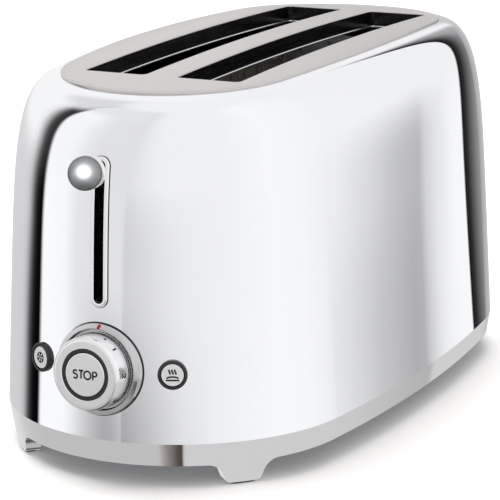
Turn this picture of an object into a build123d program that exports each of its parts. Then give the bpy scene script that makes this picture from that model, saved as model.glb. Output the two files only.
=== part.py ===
from build123d import *
from math import atan2, cos, degrees, pi, radians, sin, sqrt
import os

os.makedirs("parts", exist_ok=True)

# Long-slot toaster for four slices. Millimetres, +Z up, the feet stand on Z = 0.
# The control end looks along -Y, and the two bread slots run along Y.

# Plan of the body: two round ends joined by long, slightly bowed sides, all tangent
body_half_length = 194.0
body_half_width = 104.0
side_bow = 6.0

# Heights
ring_bottom_z = 12.0
ring_top_z = 24.4
top_z = 206.5
crown_radius = 3460.0

# Wall of the body: it leans in evenly, and the shoulder rolls over to the top plate
lean_inset = 8.8
shoulder_inset = 27.2
shoulder_start_power = 7.0
shoulder_round_power = 2.9
shell_thickness = 1.2

# Gaps between pieces
sliding_gap = 0.3
running_gap = 0.05
seat_gap = 0.05
press_gap = 0.2

# Top plate and bread slots
plate_thickness = 1.0
plate_inset = 33.0
slot_width = 37.0
slot_bridge = 19.0
slot_front_margin = 74.0
slot_rear_margin = 60.0
slot_corner_radius = 3.0
liner_wall = 0.8
liner_depth = 17.0
liner_flange = 3.0

# Base ring, legs and bottom plate
ring_taper = 2.0
ring_wall = 2.5
ledge_width = 7.5
ledge_thickness = 2.0
leg_angle = 44.0
leg_bottom_half_width = 9.4
leg_root_half_width = 13.5
leg_flank_radius = 9.0
leg_corner_radius = 3.5
leg_thickness = 8.0
pad_height = 1.0
pad_length = 13.0
pad_width = 5.6
bottom_thickness = 1.2
bottom_recess = 0.4
post_radius = 4.0
post_inset = 8.5
post_angles = (25.0, 155.0, 205.0, 335.0, 4.0, 176.0, 184.0, 356.0, 270.0)
screw_hole_radius = 1.5
screw_head_radius = 3.0
screw_head_height = 1.6
vent_length = 30.0
vent_width = 3.0
vent_count = 9
vent_pitch = 8.0
vent_bridge = 12.0
vent_group_offset = 60.0

# Crumb tray, which slides out of the rear end
tray_front_gap = 9.0
tray_sheet = 0.8
tray_wall_height = 7.0
rail_sheet = 1.2

# Cord bush and terminal block
bush_side_margin = 30.0
bush_rear_margin = 76.0
bush_bore_radius = 3.75
bush_barrel_radius = 6.0
bush_flange_radius = 8.0
bush_flange_height = 1.5
bush_nut_height = 2.0
terminal_spacing = 34.0
terminal_width = 14.0
terminal_length = 28.0
terminal_height = 16.0
terminal_hole_radius = 2.0
terminal_pitch = 9.0

# Chassis: two steel end plates, two side shields and their screws
chassis_sheet = 1.2
chassis_front_gap = 7.0
chassis_rear_gap = 6.0
chassis_edge = 3.0
chassis_top_gap = 20.5
chassis_corner_radius = 4.0
shield_gap = 8.0
shield_sheet = 0.8
shield_flange = 7.0
shield_bottom_z = 26.0
shield_screw_heights = (50.0, 168.0)
chassis_screw_radius = 1.5
chassis_screw_head_radius = 2.8
chassis_screw_head = 1.4
chassis_screw_length = 4.0

# Heaters: mica cards with a flat heating ribbon wound round each
heater_gap = 8.5
card_thickness = 0.8
card_bottom_z = 50.0
card_top_z = 170.0
ribbon_width = 1.6
ribbon_thickness = 0.3
ribbon_turns = 14
ribbon_margin = 16.0

# Bread guards: wire grids on each side of each slot
guard_wire_radius = 1.0
guard_upright_radius = 0.9
guard_side_gap = 2.1
guard_travel = 7.0
guard_bottom_z = 58.0
guard_top_z = 176.0
guard_uprights = 9
guard_overhang = 1.2

# Bread lifts and carriage
lift_travel = 64.0
lift_z = 118.0
lift_width = 18.0
lift_sheet = 1.2
lift_neck_width = 7.0
lift_end_gap = 2.5
lift_overhang = 3.0
lift_fin_height = 7.0
lift_fins = 9
carriage_sheet = 1.6
carriage_gap = 1.8
carriage_bar_height = 12.0
carriage_bar_half_width = 34.0
carriage_web_width = 24.0
hub_width = 16.0
hub_depth = 17.4
hub_height = 18.0
hub_top_z = 176.0
rod_radius = 3.0
rod_bottom_z = 37.2
rod_top_z = 184.0
bracket_half_width = 9.0
bracket_sheet = 1.2
spring_radius = 4.9
spring_wire_radius = 0.55
spring_turns = 14

# Magnet that holds the carriage down
magnet_x = 21.0
magnet_radius = 7.0
magnet_height = 17.0
magnet_foot = 2.0
armature_size = 14.0
armature_thickness = 2.2

# Lever: ball, collar and arm, with the bezel round its slot
ball_z = 167.6
ball_radius = 8.8
ball_stand_off = 17.0
ball_flat = 5.2
collar_radius = 9.3
collar_thickness = 3.5
arm_width = 3.6
arm_height = 4.4
arm_corner_radius = 0.8
stud_radius = 1.7
stud_length = 6.0
bezel_bottom_z = 94.4
bezel_top_z = 173.4
bezel_width = 10.6
bezel_gap_width = 5.4
bezel_proud = 1.5
bezel_tongue_wall = 0.8
bezel_tongue_depth = 2.7

# Dial: fixed bezel, knob with its dark ring, and the stop button in the middle
dial_z = 62.2
dial_bezel_radius = 24.5
dial_bezel_proud = 2.8
dial_rim_radius = 22.6
dial_floor_radius = 20.7
dial_floor = 0.8
dial_sink = 4.5
dial_barrel_radius = 8.0
dial_barrel_length = 8.0
dial_nut_flats = 22.0
nut_thickness = 3.0
nut_stand_off = 2.3
knob_front_radius = 19.5
knob_back_radius = 20.2
knob_lift = 0.5
knob_front = 15.0
knob_edge_radius = 2.2
knob_recess_radius = 13.7
knob_recess_depth = 7.0
knob_tube_radius = 5.0
insert_inner_radius = 11.8
insert_sink = 0.3
stop_radius = 11.5
stop_height = 4.6
stop_travel = 2.0
stop_stem_radius = 3.0
stop_stem_length = 30.0

# Board behind the dial
board_depth = 26.0
board_thickness = 1.6
board_half_width = 22.0
board_half_height = 27.0
board_bracket_sheet = 1.2
board_bracket_half_width = 18.0
board_bracket_foot = 14.0
encoder_size = 24.0
encoder_height = 14.0
encoder_bearing = 6.0
encoder_cavity_radius = 8.0
switch_size = 6.0

# Defrost and reheat buttons, on each side of the dial
button_z = 61.7
button_angle = 23.8
button_bezel_radius = 7.8
button_bezel_proud = 2.0
button_bore_radius = 6.3
button_barrel_radius = 7.0
button_barrel_length = 10.0
button_nut_flats = 18.0
button_radius = 6.0
button_proud = 1.6
button_head_length = 5.6
button_stem_radius = 2.0
button_stem_length = 5.0
button_travel = 1.5
switch_body_size = 14.0
switch_body_depth = 10.0

# Values worked out from the ones above
end_radius = body_half_width - side_bow
side_radius = (body_half_width**2 - end_radius**2 + (body_half_length - end_radius) ** 2) / (
    2 * (body_half_width - end_radius)
)
end_centre = body_half_length - end_radius
side_angle = degrees(atan2(end_centre, side_radius - body_half_width))
bottom_z = ring_bottom_z + bottom_recess
deck_z = bottom_z + bottom_thickness
leg_bottom_z = pad_height
slot_length = 2 * body_half_length - slot_front_margin - slot_rear_margin
slot_centre_x = (slot_bridge + slot_width) / 2
heater_x = slot_centre_x + slot_width / 2 + heater_gap
shield_x = heater_x + shield_gap
chassis_half_width = shield_x + chassis_edge
tray_half_width = shield_x - chassis_edge
chassis_front = slot_front_margin - chassis_front_gap - body_half_length
chassis_rear = body_half_length - slot_rear_margin + chassis_rear_gap
chassis_top_z = top_z - chassis_top_gap
tray_front = chassis_front + tray_front_gap
guard_open_offset = slot_width / 2 + guard_side_gap
bush_x = bush_side_margin - body_half_width
bush_y = body_half_length - bush_rear_margin
terminal_y = bush_y - terminal_spacing


def crown_z(along):
    """Height of the arched top at a distance from the middle of the body."""
    return top_z - crown_radius + sqrt(crown_radius**2 - along**2)


def wall_inset(rise):
    """How far the wall stands in from the base outline at a share of its height."""
    rise = min(max(rise, 0.0), 1.0)
    shoulder = 1 - (1 - rise**shoulder_start_power) ** (1 / shoulder_round_power)
    return lean_inset * rise + shoulder_inset * shoulder


def wall_reach(z):
    """Distance from the middle of the body to the outside of the front wall at a height."""
    rim_z = crown_z(body_half_length - plate_inset) - plate_thickness
    return body_half_length - wall_inset((z - ring_top_z) / (rim_z - ring_top_z))


def wall_tilt(z):
    """Degrees by which the front wall leans back at a height."""
    return degrees(atan2(wall_reach(z - 1) - wall_reach(z + 1), 2))


# The ball reaches furthest forward, and the origin is midway between it and the rear end
ball_reach = wall_reach(ball_z) + ball_stand_off
mid_y = (ball_reach + ball_radius - body_half_length) / 2
slot_y = mid_y + (slot_front_margin - slot_rear_margin) / 2


def oval(inset):
    """Plan outline of the body, moved inwards by inset."""
    with BuildSketch(mode=Mode.PRIVATE) as plan:
        with BuildLine():
            CenterArc((0, mid_y + end_centre), end_radius - inset, side_angle, 180 - 2 * side_angle)
            CenterArc((side_radius - body_half_width, mid_y), side_radius - inset,
                      180 - side_angle, 2 * side_angle)
            CenterArc((0, mid_y - end_centre), end_radius - inset, 180 + side_angle, 180 - 2 * side_angle)
            CenterArc((body_half_width - side_radius, mid_y), side_radius - inset,
                      -side_angle, 2 * side_angle)
        make_face()
    return plan.sketch


def oval_point(angle, inset):
    """Point of that outline whose outward direction has the given angle from +X."""
    across, along = cos(radians(angle)), sin(radians(angle))
    if abs(along) > sin(radians(side_angle)):
        centre_x, centre_y, radius = 0, end_centre * (1 if along > 0 else -1), end_radius
    else:
        centre_x, centre_y, radius = body_half_width - side_radius, 0, side_radius
        if across < 0:
            centre_x = -centre_x
    return (centre_x + (radius - inset) * across, mid_y + centre_y + (radius - inset) * along)


def outward_plane(angle, inset, z, tilt=0.0):
    """Upright plane on the body's outline that looks outwards, with its Y upwards."""
    x, y = oval_point(angle, inset)
    out = Vector(cos(radians(angle)) * cos(radians(tilt)), sin(radians(angle)) * cos(radians(tilt)),
                 sin(radians(tilt)))
    level = Vector(-sin(radians(angle)), cos(radians(angle)), 0)
    return Plane(origin=(x, y, z), x_dir=level, z_dir=out)


def crown_slab(upper, lower):
    """Side view of a layer between two depths below the arched top."""
    reach = body_half_length
    with BuildSketch(mode=Mode.PRIVATE) as layer:
        with BuildLine():
            for depth in (upper, lower):
                radius = crown_radius - depth
                half_angle = degrees(atan2(reach, radius))
                CenterArc((mid_y, top_z - crown_radius), radius, 90 - half_angle, 2 * half_angle)
            ends = [edge @ end for edge in edges() for end in (0, 1)]
            Line(ends[0], ends[2])
            Line(ends[1], ends[3])
        make_face()
    return layer.sketch


# Body shell: a smooth outer skin and a second one inside it, joined at the rim and at the foot
def wall_normal(rise, height):
    """Outward and upward shares of the wall's own direction at a share of its height."""
    if rise >= 1:
        return 0.0, 1.0
    slope = (wall_inset(rise + 1e-4) - wall_inset(rise)) / 1e-4 / height
    length = sqrt(1 + slope**2)
    return 1 / length, slope / length


def skin_ring(rise, depth):
    """Closed curve round the shell at a share of its height, at a depth below its surface."""
    runs = (
        (0, end_centre, end_radius, side_angle, 90, 6),
        (0, end_centre, end_radius, 90, 180 - side_angle, 6),
        (side_radius - body_half_width, 0, side_radius, 180 - side_angle, 180 + side_angle, 6),
        (0, -end_centre, end_radius, 180 + side_angle, 270, 6),
        (0, -end_centre, end_radius, 270, 360 - side_angle, 6),
        (body_half_width - side_radius, 0, side_radius, -side_angle, side_angle, 6),
    )
    edges_round = []
    for centre_x, centre_y, radius, start, finish, steps in runs:
        points, directions, turns = [], [], []
        for step in range(steps + 1):
            angle = radians(start + (finish - start) * step / steps)
            edge_along = centre_y + (radius - plate_inset) * sin(angle)
            height = crown_z(edge_along) - plate_thickness - ring_top_z
            out, up = wall_normal(rise, height)
            reach = radius - wall_inset(rise) - depth * out
            points.append(Vector(centre_x + reach * cos(angle), mid_y + centre_y + reach * sin(angle),
                                 ring_top_z + rise * height - depth * up))
            fall = rise * (radius - plate_inset) * cos(angle) * edge_along / crown_radius
            directions.append(Vector(-reach * sin(angle), reach * cos(angle), -fall))
            turns.append(angle)
        edges_round.append(Edge.make_spline(points, tangents=[directions[0], directions[-1]],
                                            parameters=turns, scale=False))
    return Wire(edges_round)


skin_rises = (0.0, 0.2, 0.4, 0.6, 0.72, 0.82, 0.9, 0.95, 0.98, 0.995, 1.0)
outer_rings = [skin_ring(rise, 0) for rise in skin_rises]
inner_rings = [skin_ring(rise, shell_thickness) for rise in skin_rises]
skins = [Shell.make_loft(outer_rings), Shell.make_loft(inner_rings)]
skins.append(Shell.make_loft([outer_rings[0], inner_rings[0]], ruled=True))
skins.append(Shell.make_loft([outer_rings[-1], inner_rings[-1]], ruled=True))
shell_blank = Solid(Shell([face for skin in skins for face in skin.faces()]))

lever_plane = Plane(origin=(0, mid_y - wall_reach((bezel_bottom_z + bezel_top_z) / 2),
                            (bezel_bottom_z + bezel_top_z) / 2), x_dir=(1, 0, 0), z_dir=(0, -1, 0))
dial_plane = outward_plane(270, body_half_length - wall_reach(dial_z), dial_z, wall_tilt(dial_z))
defrost_plane = outward_plane(270 - button_angle, body_half_length - wall_reach(button_z), button_z,
                              wall_tilt(button_z))
reheat_plane = outward_plane(270 + button_angle, body_half_length - wall_reach(button_z), button_z,
                             wall_tilt(button_z))
bezel_height = bezel_top_z - bezel_bottom_z
bezel_rim = (bezel_width - bezel_gap_width) / 2
tongue_width = bezel_gap_width + 2 * bezel_tongue_wall
tongue_height = bezel_height - 2 * (bezel_rim - bezel_tongue_wall)

with BuildPart() as body_shell:
    add(shell_blank)
    split(bisect_by=Plane.XY.offset(ring_top_z), keep=Keep.TOP)
    with BuildSketch(lever_plane):
        SlotOverall(tongue_height + 2 * press_gap, tongue_width + 2 * press_gap, rotation=90)
    extrude(amount=4 * ball_radius, both=True, mode=Mode.SUBTRACT)
    with BuildSketch(dial_plane):
        Circle(dial_barrel_radius + press_gap)
    extrude(amount=2 * dial_barrel_length, both=True, mode=Mode.SUBTRACT)
    for plane in (defrost_plane, reheat_plane):
        with BuildSketch(plane):
            Circle(button_barrel_radius + press_gap)
        extrude(amount=button_barrel_length, both=True, mode=Mode.SUBTRACT)
body_shell.part.label = "body_shell"
export_step(body_shell.part, "parts/body_shell.step")

# Top plate: brushed sheet, arched along its length, that laps over the shell's edge
with BuildPart() as top_plate:
    with BuildSketch(Plane.YZ):
        add(crown_slab(0, plate_thickness))
    extrude(amount=body_half_width, both=True)
    with BuildSketch(Plane.XY):
        add(oval(plate_inset))
    extrude(amount=top_z + plate_thickness, mode=Mode.INTERSECT)
    with BuildSketch(Plane.XY):
        with Locations((-slot_centre_x, slot_y), (slot_centre_x, slot_y)):
            RectangleRounded(slot_width, slot_length, slot_corner_radius)
    extrude(amount=top_z + plate_thickness, mode=Mode.SUBTRACT)
top_plate.part.label = "top_plate"
export_step(top_plate.part, "parts/top_plate.step")


# Slot liners: a folded sheet collar hangs under each slot from its own flange
def slot_liner(side):
    with BuildPart() as flange:
        with BuildSketch(Plane.YZ.offset(side * slot_centre_x)):
            add(crown_slab(plate_thickness, plate_thickness + liner_wall))
        extrude(amount=slot_width, both=True)
        with BuildSketch(Plane.XY):
            with Locations((side * slot_centre_x, slot_y)):
                RectangleRounded(slot_width + 2 * liner_flange, slot_length + 2 * liner_flange,
                                 slot_corner_radius + liner_flange)
        extrude(amount=top_z, mode=Mode.INTERSECT)
    with BuildPart() as liner:
        with BuildSketch(Plane.YZ.offset(side * slot_centre_x)):
            add(crown_slab(plate_thickness, plate_thickness + liner_depth))
        extrude(amount=slot_width, both=True)
        with BuildSketch(Plane.XY):
            with Locations((side * slot_centre_x, slot_y)):
                RectangleRounded(slot_width + 2 * liner_wall, slot_length + 2 * liner_wall,
                                 slot_corner_radius + liner_wall)
        extrude(amount=top_z, mode=Mode.INTERSECT)
        add(flange.part)
        with BuildSketch(Plane.XY):
            with Locations((side * slot_centre_x, slot_y)):
                RectangleRounded(slot_width, slot_length, slot_corner_radius)
        extrude(amount=top_z, mode=Mode.SUBTRACT)
    return liner


slot_liner_left = slot_liner(-1)
slot_liner_left.part.label = "slot_liner_left"
export_step(slot_liner_left.part, "parts/slot_liner_left.step")
slot_liner_right = slot_liner(1)
slot_liner_right.part.label = "slot_liner_right"
export_step(slot_liner_right.part, "parts/slot_liner_right.step")

# Base ring: cast ring with a ledge for the shell, screw posts, a window for the tray and four legs
window_half_width = tray_half_width + sliding_gap
window_top_z = ring_top_z - ledge_thickness
leg_angles = (leg_angle, 180 - leg_angle, 180 + leg_angle, 360 - leg_angle)
taper_rate = ring_taper / (ring_top_z - ring_bottom_z)
leg_band = leg_root_half_width + leg_flank_radius + 1
leg_foot_inset = ring_taper + taper_rate * (ring_bottom_z - leg_bottom_z)


def leg_blank(angle):
    """One leg: a slice of the ring's skirt, cut to a tab with hollowed flanks."""
    with BuildPart() as leg:
        with BuildSketch(Plane.XY.offset(leg_bottom_z)):
            add(oval(leg_foot_inset))
        with BuildSketch(Plane.XY.offset(bottom_z)):
            add(oval(ring_taper - taper_rate * bottom_recess))
        loft(ruled=True)
        with BuildSketch(Plane.XY.offset(leg_bottom_z)):
            add(oval(leg_foot_inset + leg_thickness))
        extrude(amount=bottom_z, mode=Mode.SUBTRACT)
        with BuildSketch(outward_plane(angle, 0, 0)):
            with BuildLine():
                Polyline(
                    (-leg_band, bottom_z), (-leg_band, ring_bottom_z),
                    (-leg_root_half_width, ring_bottom_z), (-leg_bottom_half_width, leg_bottom_z),
                    (leg_bottom_half_width, leg_bottom_z), (leg_root_half_width, ring_bottom_z),
                    (leg_band, ring_bottom_z), (leg_band, bottom_z), close=True
                )
            make_face()
            fillet([v for v in vertices() if abs(v.Y - leg_bottom_z) < 0.01], leg_corner_radius)
            fillet([v for v in vertices() if abs(v.Y - ring_bottom_z) < 0.01
                    and abs(abs(v.X) - leg_root_half_width) < 0.01], leg_flank_radius)
        extrude(amount=3 * leg_thickness, both=True, mode=Mode.INTERSECT)
    return leg.part


with BuildPart() as base_ring:
    with BuildSketch(Plane.XY.offset(ring_bottom_z)):
        add(oval(ring_taper))
    with BuildSketch(Plane.XY.offset(ring_top_z)):
        add(oval(0))
    loft(ruled=True)
    with BuildSketch(Plane.XY.offset(ring_bottom_z)):
        add(oval(ring_taper + ring_wall))
    extrude(amount=window_top_z - ring_bottom_z, mode=Mode.SUBTRACT)
    with BuildSketch(Plane.XY.offset(window_top_z)):
        add(oval(ring_taper + ring_wall + ledge_width))
    extrude(amount=ledge_thickness, mode=Mode.SUBTRACT)
    with BuildSketch(Plane.XY.offset(deck_z)):
        with Locations([oval_point(angle, post_inset) for angle in post_angles]):
            Circle(post_radius)
    extrude(amount=window_top_z - deck_z)
    with BuildSketch(Plane.XY.offset(ring_bottom_z)):
        with Locations([oval_point(angle, post_inset) for angle in post_angles]):
            Circle(screw_hole_radius)
    extrude(amount=window_top_z - ring_bottom_z - 1, mode=Mode.SUBTRACT)
    with BuildSketch(Plane.XY.offset(deck_z)):
        with Locations((0, mid_y + body_half_length - ledge_width)):
            Rectangle(2 * window_half_width, 6 * ledge_width)
    extrude(amount=window_top_z - deck_z, mode=Mode.SUBTRACT)
    for angle in leg_angles:
        add(leg_blank(angle))
base_ring.part.label = "base_ring"
export_step(base_ring.part, "parts/base_ring.step")

# Foot pads: a rubber pad under each leg
with BuildPart() as foot_pads:
    for angle in leg_angles:
        pad_x, pad_y = oval_point(angle, leg_foot_inset + leg_thickness / 2)
        level = (-sin(radians(angle)), cos(radians(angle)), 0)
        with BuildSketch(Plane(origin=(pad_x, pad_y, 0), x_dir=level)):
            RectangleRounded(pad_length, pad_width, pad_width / 3)
        extrude(amount=pad_height)
foot_pads.part.label = "foot_pads"
export_step(foot_pads.part, "parts/foot_pads.step")

# Bottom plate: steel sheet with vents and two folded rails that guide the tray and carry the chassis
plate_edge_inset = ring_taper + ring_wall + sliding_gap
with BuildPart() as bottom_plate:
    with BuildSketch(Plane.XY.offset(bottom_z)):
        add(oval(plate_edge_inset))
        with Locations([oval_point(angle, post_inset) for angle in post_angles]):
            Circle(screw_hole_radius + press_gap, mode=Mode.SUBTRACT)
        with Locations((bush_x, mid_y + bush_y)):
            Circle(bush_barrel_radius, mode=Mode.SUBTRACT)
        with Locations((0, mid_y - vent_group_offset), (0, mid_y + vent_group_offset)):
            with GridLocations(vent_length + vent_bridge, vent_pitch, 2, vent_count):
                SlotOverall(vent_length, vent_width, mode=Mode.SUBTRACT)
    extrude(amount=bottom_thickness)
    with BuildSketch(Plane.XY.offset(deck_z)):
        rail_length = chassis_rear - chassis_front + 2 * shield_flange
        rail_x = window_half_width + rail_sheet / 2
        rail_y = mid_y + (chassis_rear + chassis_front) / 2
        with Locations((rail_x, rail_y), (-rail_x, rail_y)):
            Rectangle(rail_sheet, rail_length)
    extrude(amount=ring_top_z - deck_z)
bottom_plate.part.label = "bottom_plate"
export_step(bottom_plate.part, "parts/bottom_plate.step")

# Base screws: one pan-head screw from below into each post
with BuildPart() as base_screws:
    with BuildSketch(Plane.XY.offset(bottom_z - screw_head_height)):
        with Locations([oval_point(angle, post_inset) for angle in post_angles]):
            Circle(screw_head_radius)
    extrude(amount=screw_head_height)
    with BuildSketch(Plane.XY.offset(bottom_z)):
        with Locations([oval_point(angle, post_inset) for angle in post_angles]):
            Circle(screw_hole_radius - seat_gap)
    extrude(amount=window_top_z - bottom_z - 3)
base_screws.part.label = "base_screws"
export_step(base_screws.part, "parts/base_screws.step")

# Crumb tray: shallow sheet tray whose lip closes the window flush with the ring
tray_floor_z = deck_z + sliding_gap
tray_rear = body_half_length - ring_taper - ring_wall
with BuildPart() as crumb_tray:
    with BuildSketch(Plane.XY.offset(ring_bottom_z)):
        add(oval(ring_taper))
    with BuildSketch(Plane.XY.offset(ring_top_z)):
        add(oval(0))
    loft(ruled=True)
    with BuildSketch(Plane.XY.offset(ring_bottom_z)):
        add(oval(ring_taper + ring_wall))
    extrude(amount=ring_top_z - ring_bottom_z, mode=Mode.SUBTRACT)
    with BuildSketch(Plane.XY.offset(tray_floor_z)):
        with Locations((0, mid_y + body_half_length)):
            Rectangle(2 * tray_half_width, 8 * ledge_width)
    extrude(amount=window_top_z - sliding_gap - tray_floor_z, mode=Mode.INTERSECT)
    tray_length = tray_rear - tray_front
    with BuildSketch(Plane.XY.offset(tray_floor_z)):
        add(oval(ring_taper + ring_wall))
        with Locations((0, mid_y + (tray_rear + tray_front) / 2)):
            Rectangle(2 * tray_half_width, tray_length, mode=Mode.INTERSECT)
    extrude(amount=tray_wall_height)
    with BuildSketch(Plane.XY.offset(tray_floor_z + tray_sheet)):
        add(oval(ring_taper + ring_wall + tray_sheet))
        with Locations((0, mid_y + (tray_rear + tray_front) / 2)):
            Rectangle(2 * (tray_half_width - tray_sheet), tray_length - 2 * tray_sheet, mode=Mode.INTERSECT)
    extrude(amount=tray_wall_height, mode=Mode.SUBTRACT)
crumb_tray.part.label = "crumb_tray"
export_step(crumb_tray.part, "parts/crumb_tray.step")

# Cord bush: flanged plastic bush with its nut, where the lead enters the base
with BuildPart() as cord_bush:
    with BuildSketch(Plane.XY.offset(bottom_z - bush_flange_height)):
        with Locations((bush_x, mid_y + bush_y)):
            Circle(bush_flange_radius)
    extrude(amount=bush_flange_height)
    with BuildSketch(Plane.XY.offset(bottom_z)):
        with Locations((bush_x, mid_y + bush_y)):
            Circle(bush_barrel_radius)
    extrude(amount=bottom_thickness)
    with BuildSketch(Plane.XY.offset(deck_z)):
        with Locations((bush_x, mid_y + bush_y)):
            RegularPolygon(bush_flange_radius, 6)
    extrude(amount=bush_nut_height)
    with BuildSketch(Plane.XY.offset(bottom_z - bush_flange_height)):
        with Locations((bush_x, mid_y + bush_y)):
            Circle(bush_bore_radius)
    extrude(amount=ring_top_z, mode=Mode.SUBTRACT)
cord_bush.part.label = "cord_bush"
export_step(cord_bush.part, "parts/cord_bush.step")

# Terminal block: moulded block with three wire holes, on the bottom plate beside the bush
with BuildPart() as terminal_block:
    with BuildSketch(Plane.XY.offset(deck_z)):
        with Locations((bush_x, mid_y + terminal_y)):
            RectangleRounded(terminal_width, terminal_length, 1.5)
    extrude(amount=terminal_height)
    with BuildSketch(Plane.YZ.offset(bush_x)):
        with Locations((mid_y + terminal_y, deck_z + terminal_height / 2)):
            with GridLocations(terminal_pitch, 1, 3, 1):
                Circle(terminal_hole_radius)
    extrude(amount=terminal_width, both=True, mode=Mode.SUBTRACT)
terminal_block.part.label = "terminal_block"
export_step(terminal_block.part, "parts/terminal_block.step")

# Chassis plates: steel plates across the body at each end of the slots
guard_places = [(side, hand) for side in (-1, 1) for hand in (-1, 1)]
screw_places = [(side * (shield_x - shield_flange / 2), z) for side in (-1, 1) for z in shield_screw_heights]


def guard_x(side, hand):
    """Where a guard stands when open: on one hand of the slot on one side."""
    return side * slot_centre_x + hand * guard_open_offset


def chassis_plate(y):
    """Sheet with slots for the lifts' necks and for the guards' wires."""
    with BuildPart() as plate:
        with BuildSketch(Plane(origin=(0, y, 0), x_dir=(1, 0, 0), z_dir=(0, -1, 0))):
            with Locations((0, (ring_top_z + chassis_top_z) / 2)):
                RectangleRounded(2 * chassis_half_width, chassis_top_z - ring_top_z, chassis_corner_radius)
            neck_top = lift_z + lift_sheet + sliding_gap
            neck_bottom = lift_z - lift_travel - sliding_gap
            neck_z = (neck_top + neck_bottom) / 2
            with Locations((-slot_centre_x, neck_z), (slot_centre_x, neck_z)):
                Rectangle(lift_neck_width + 2 * sliding_gap, neck_top - neck_bottom, mode=Mode.SUBTRACT)
            guard_slot = guard_travel + 2 * (guard_wire_radius + sliding_gap)
            for side, hand in guard_places:
                for z in (guard_bottom_z, guard_top_z):
                    with Locations((guard_x(side, hand) - hand * guard_travel / 2, z)):
                        SlotOverall(guard_slot, 2 * (guard_wire_radius + sliding_gap), mode=Mode.SUBTRACT)
            with Locations(screw_places):
                Circle(chassis_screw_radius + seat_gap, mode=Mode.SUBTRACT)
        extrude(amount=chassis_sheet / 2, both=True)
    return plate.part


front_plate_y = mid_y + chassis_front - chassis_sheet / 2
rear_plate_y = mid_y + chassis_rear + chassis_sheet / 2
rod_y = front_plate_y - chassis_sheet / 2 - carriage_gap - carriage_sheet - hub_depth / 2
with BuildPart() as chassis_front_plate:
    add(chassis_plate(front_plate_y))
    bracket_depth = front_plate_y - rod_y + hub_depth / 2
    for z in (rod_bottom_z - bracket_sheet, rod_top_z):
        with BuildSketch(Plane.XY.offset(z)):
            with Locations((0, front_plate_y - bracket_depth / 2)):
                Rectangle(2 * bracket_half_width, bracket_depth)
        extrude(amount=bracket_sheet)
chassis_front_plate.part.label = "chassis_front"
export_step(chassis_front_plate.part, "parts/chassis_front.step")
with BuildPart() as chassis_rear_plate:
    add(chassis_plate(rear_plate_y))
chassis_rear_plate.part.label = "chassis_rear"
export_step(chassis_rear_plate.part, "parts/chassis_rear.step")

# Heat shields: bright sheet along each side, with a flange screwed to each chassis plate
chamber_length = chassis_rear - chassis_front
chamber_y = mid_y + (chassis_rear + chassis_front) / 2


def heat_shield(side):
    with BuildPart() as shield:
        with BuildSketch(Plane.XY.offset(shield_bottom_z)):
            with Locations((side * (shield_x + shield_sheet / 2), chamber_y)):
                Rectangle(shield_sheet, chamber_length)
            for end in (-1, 1):
                flange_y = chamber_y + end * (chamber_length - shield_sheet) / 2
                with Locations((side * (shield_x - shield_flange / 2), flange_y)):
                    Rectangle(shield_flange, shield_sheet)
        extrude(amount=chassis_top_z - shield_bottom_z - chassis_corner_radius)
        with BuildSketch(Plane(origin=(0, chamber_y, 0), x_dir=(1, 0, 0), z_dir=(0, -1, 0))):
            with Locations(screw_places):
                Circle(chassis_screw_radius + seat_gap)
        extrude(amount=chamber_length, both=True, mode=Mode.SUBTRACT)
    return shield


heat_shield_left = heat_shield(-1)
heat_shield_left.part.label = "heat_shield_left"
export_step(heat_shield_left.part, "parts/heat_shield_left.step")
heat_shield_right = heat_shield(1)
heat_shield_right.part.label = "heat_shield_right"
export_step(heat_shield_right.part, "parts/heat_shield_right.step")

# Chassis screws: eight short screws through the end plates into the shields' flanges
with BuildPart() as chassis_screws:
    for end in (-1, 1):
        plate_y = chassis_front if end < 0 else chassis_rear
        face_y = mid_y + plate_y + end * chassis_sheet
        outside = Plane(origin=(0, face_y, 0), x_dir=(-end, 0, 0), z_dir=(0, end, 0))
        with BuildSketch(outside):
            with Locations([(-end * x, z) for x, z in screw_places]):
                Circle(chassis_screw_head_radius)
        extrude(amount=chassis_screw_head)
        with BuildSketch(outside):
            with Locations([(-end * x, z) for x, z in screw_places]):
                Circle(chassis_screw_radius)
        extrude(amount=-chassis_screw_length)
chassis_screws.part.label = "chassis_screws"
export_step(chassis_screws.part, "parts/chassis_screws.step")


# Heaters: a mica card between the chassis plates, with flat ribbon wound round it in one unbroken run
def heater_card(x):
    with BuildPart() as card:
        with BuildSketch(Plane.XY.offset(card_bottom_z)):
            with Locations((x, chamber_y)):
                Rectangle(card_thickness, chamber_length)
        extrude(amount=card_top_z - card_bottom_z)
    return card


def heater_winding(x):
    run = chamber_length - 2 * ribbon_margin
    pitch = run / (ribbon_turns - 1)
    first_y = chamber_y - run / 2
    low, high = card_bottom_z - ribbon_thickness, card_top_z + ribbon_thickness
    front_x, back_x = x + card_thickness / 2, x - card_thickness / 2 - ribbon_thickness
    with BuildPart() as winding:
        with BuildSketch(Plane.YZ.offset(front_x)):
            for turn in range(ribbon_turns):
                with Locations((first_y + turn * pitch, (low + high) / 2)):
                    Rectangle(ribbon_width, high - low)
        extrude(amount=ribbon_thickness)
        with BuildSketch(Plane.YZ.offset(back_x)):
            for turn in range(ribbon_turns - 1):
                start = first_y + turn * pitch
                with BuildLine():
                    Polyline((start - ribbon_width / 2, high), (start + ribbon_width / 2, high),
                             (start + pitch + ribbon_width / 2, low), (start + pitch - ribbon_width / 2, low),
                             close=True)
                make_face()
        extrude(amount=ribbon_thickness)
        middle_x = (front_x + ribbon_thickness + back_x) / 2
        for z, turns in ((low, range(1, ribbon_turns)), (high - ribbon_thickness, range(ribbon_turns - 1))):
            with BuildSketch(Plane.XY.offset(z)):
                with Locations([(middle_x, first_y + turn * pitch) for turn in turns]):
                    Rectangle(card_thickness + 2 * ribbon_thickness, ribbon_width)
            extrude(amount=ribbon_thickness)
    return winding


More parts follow.
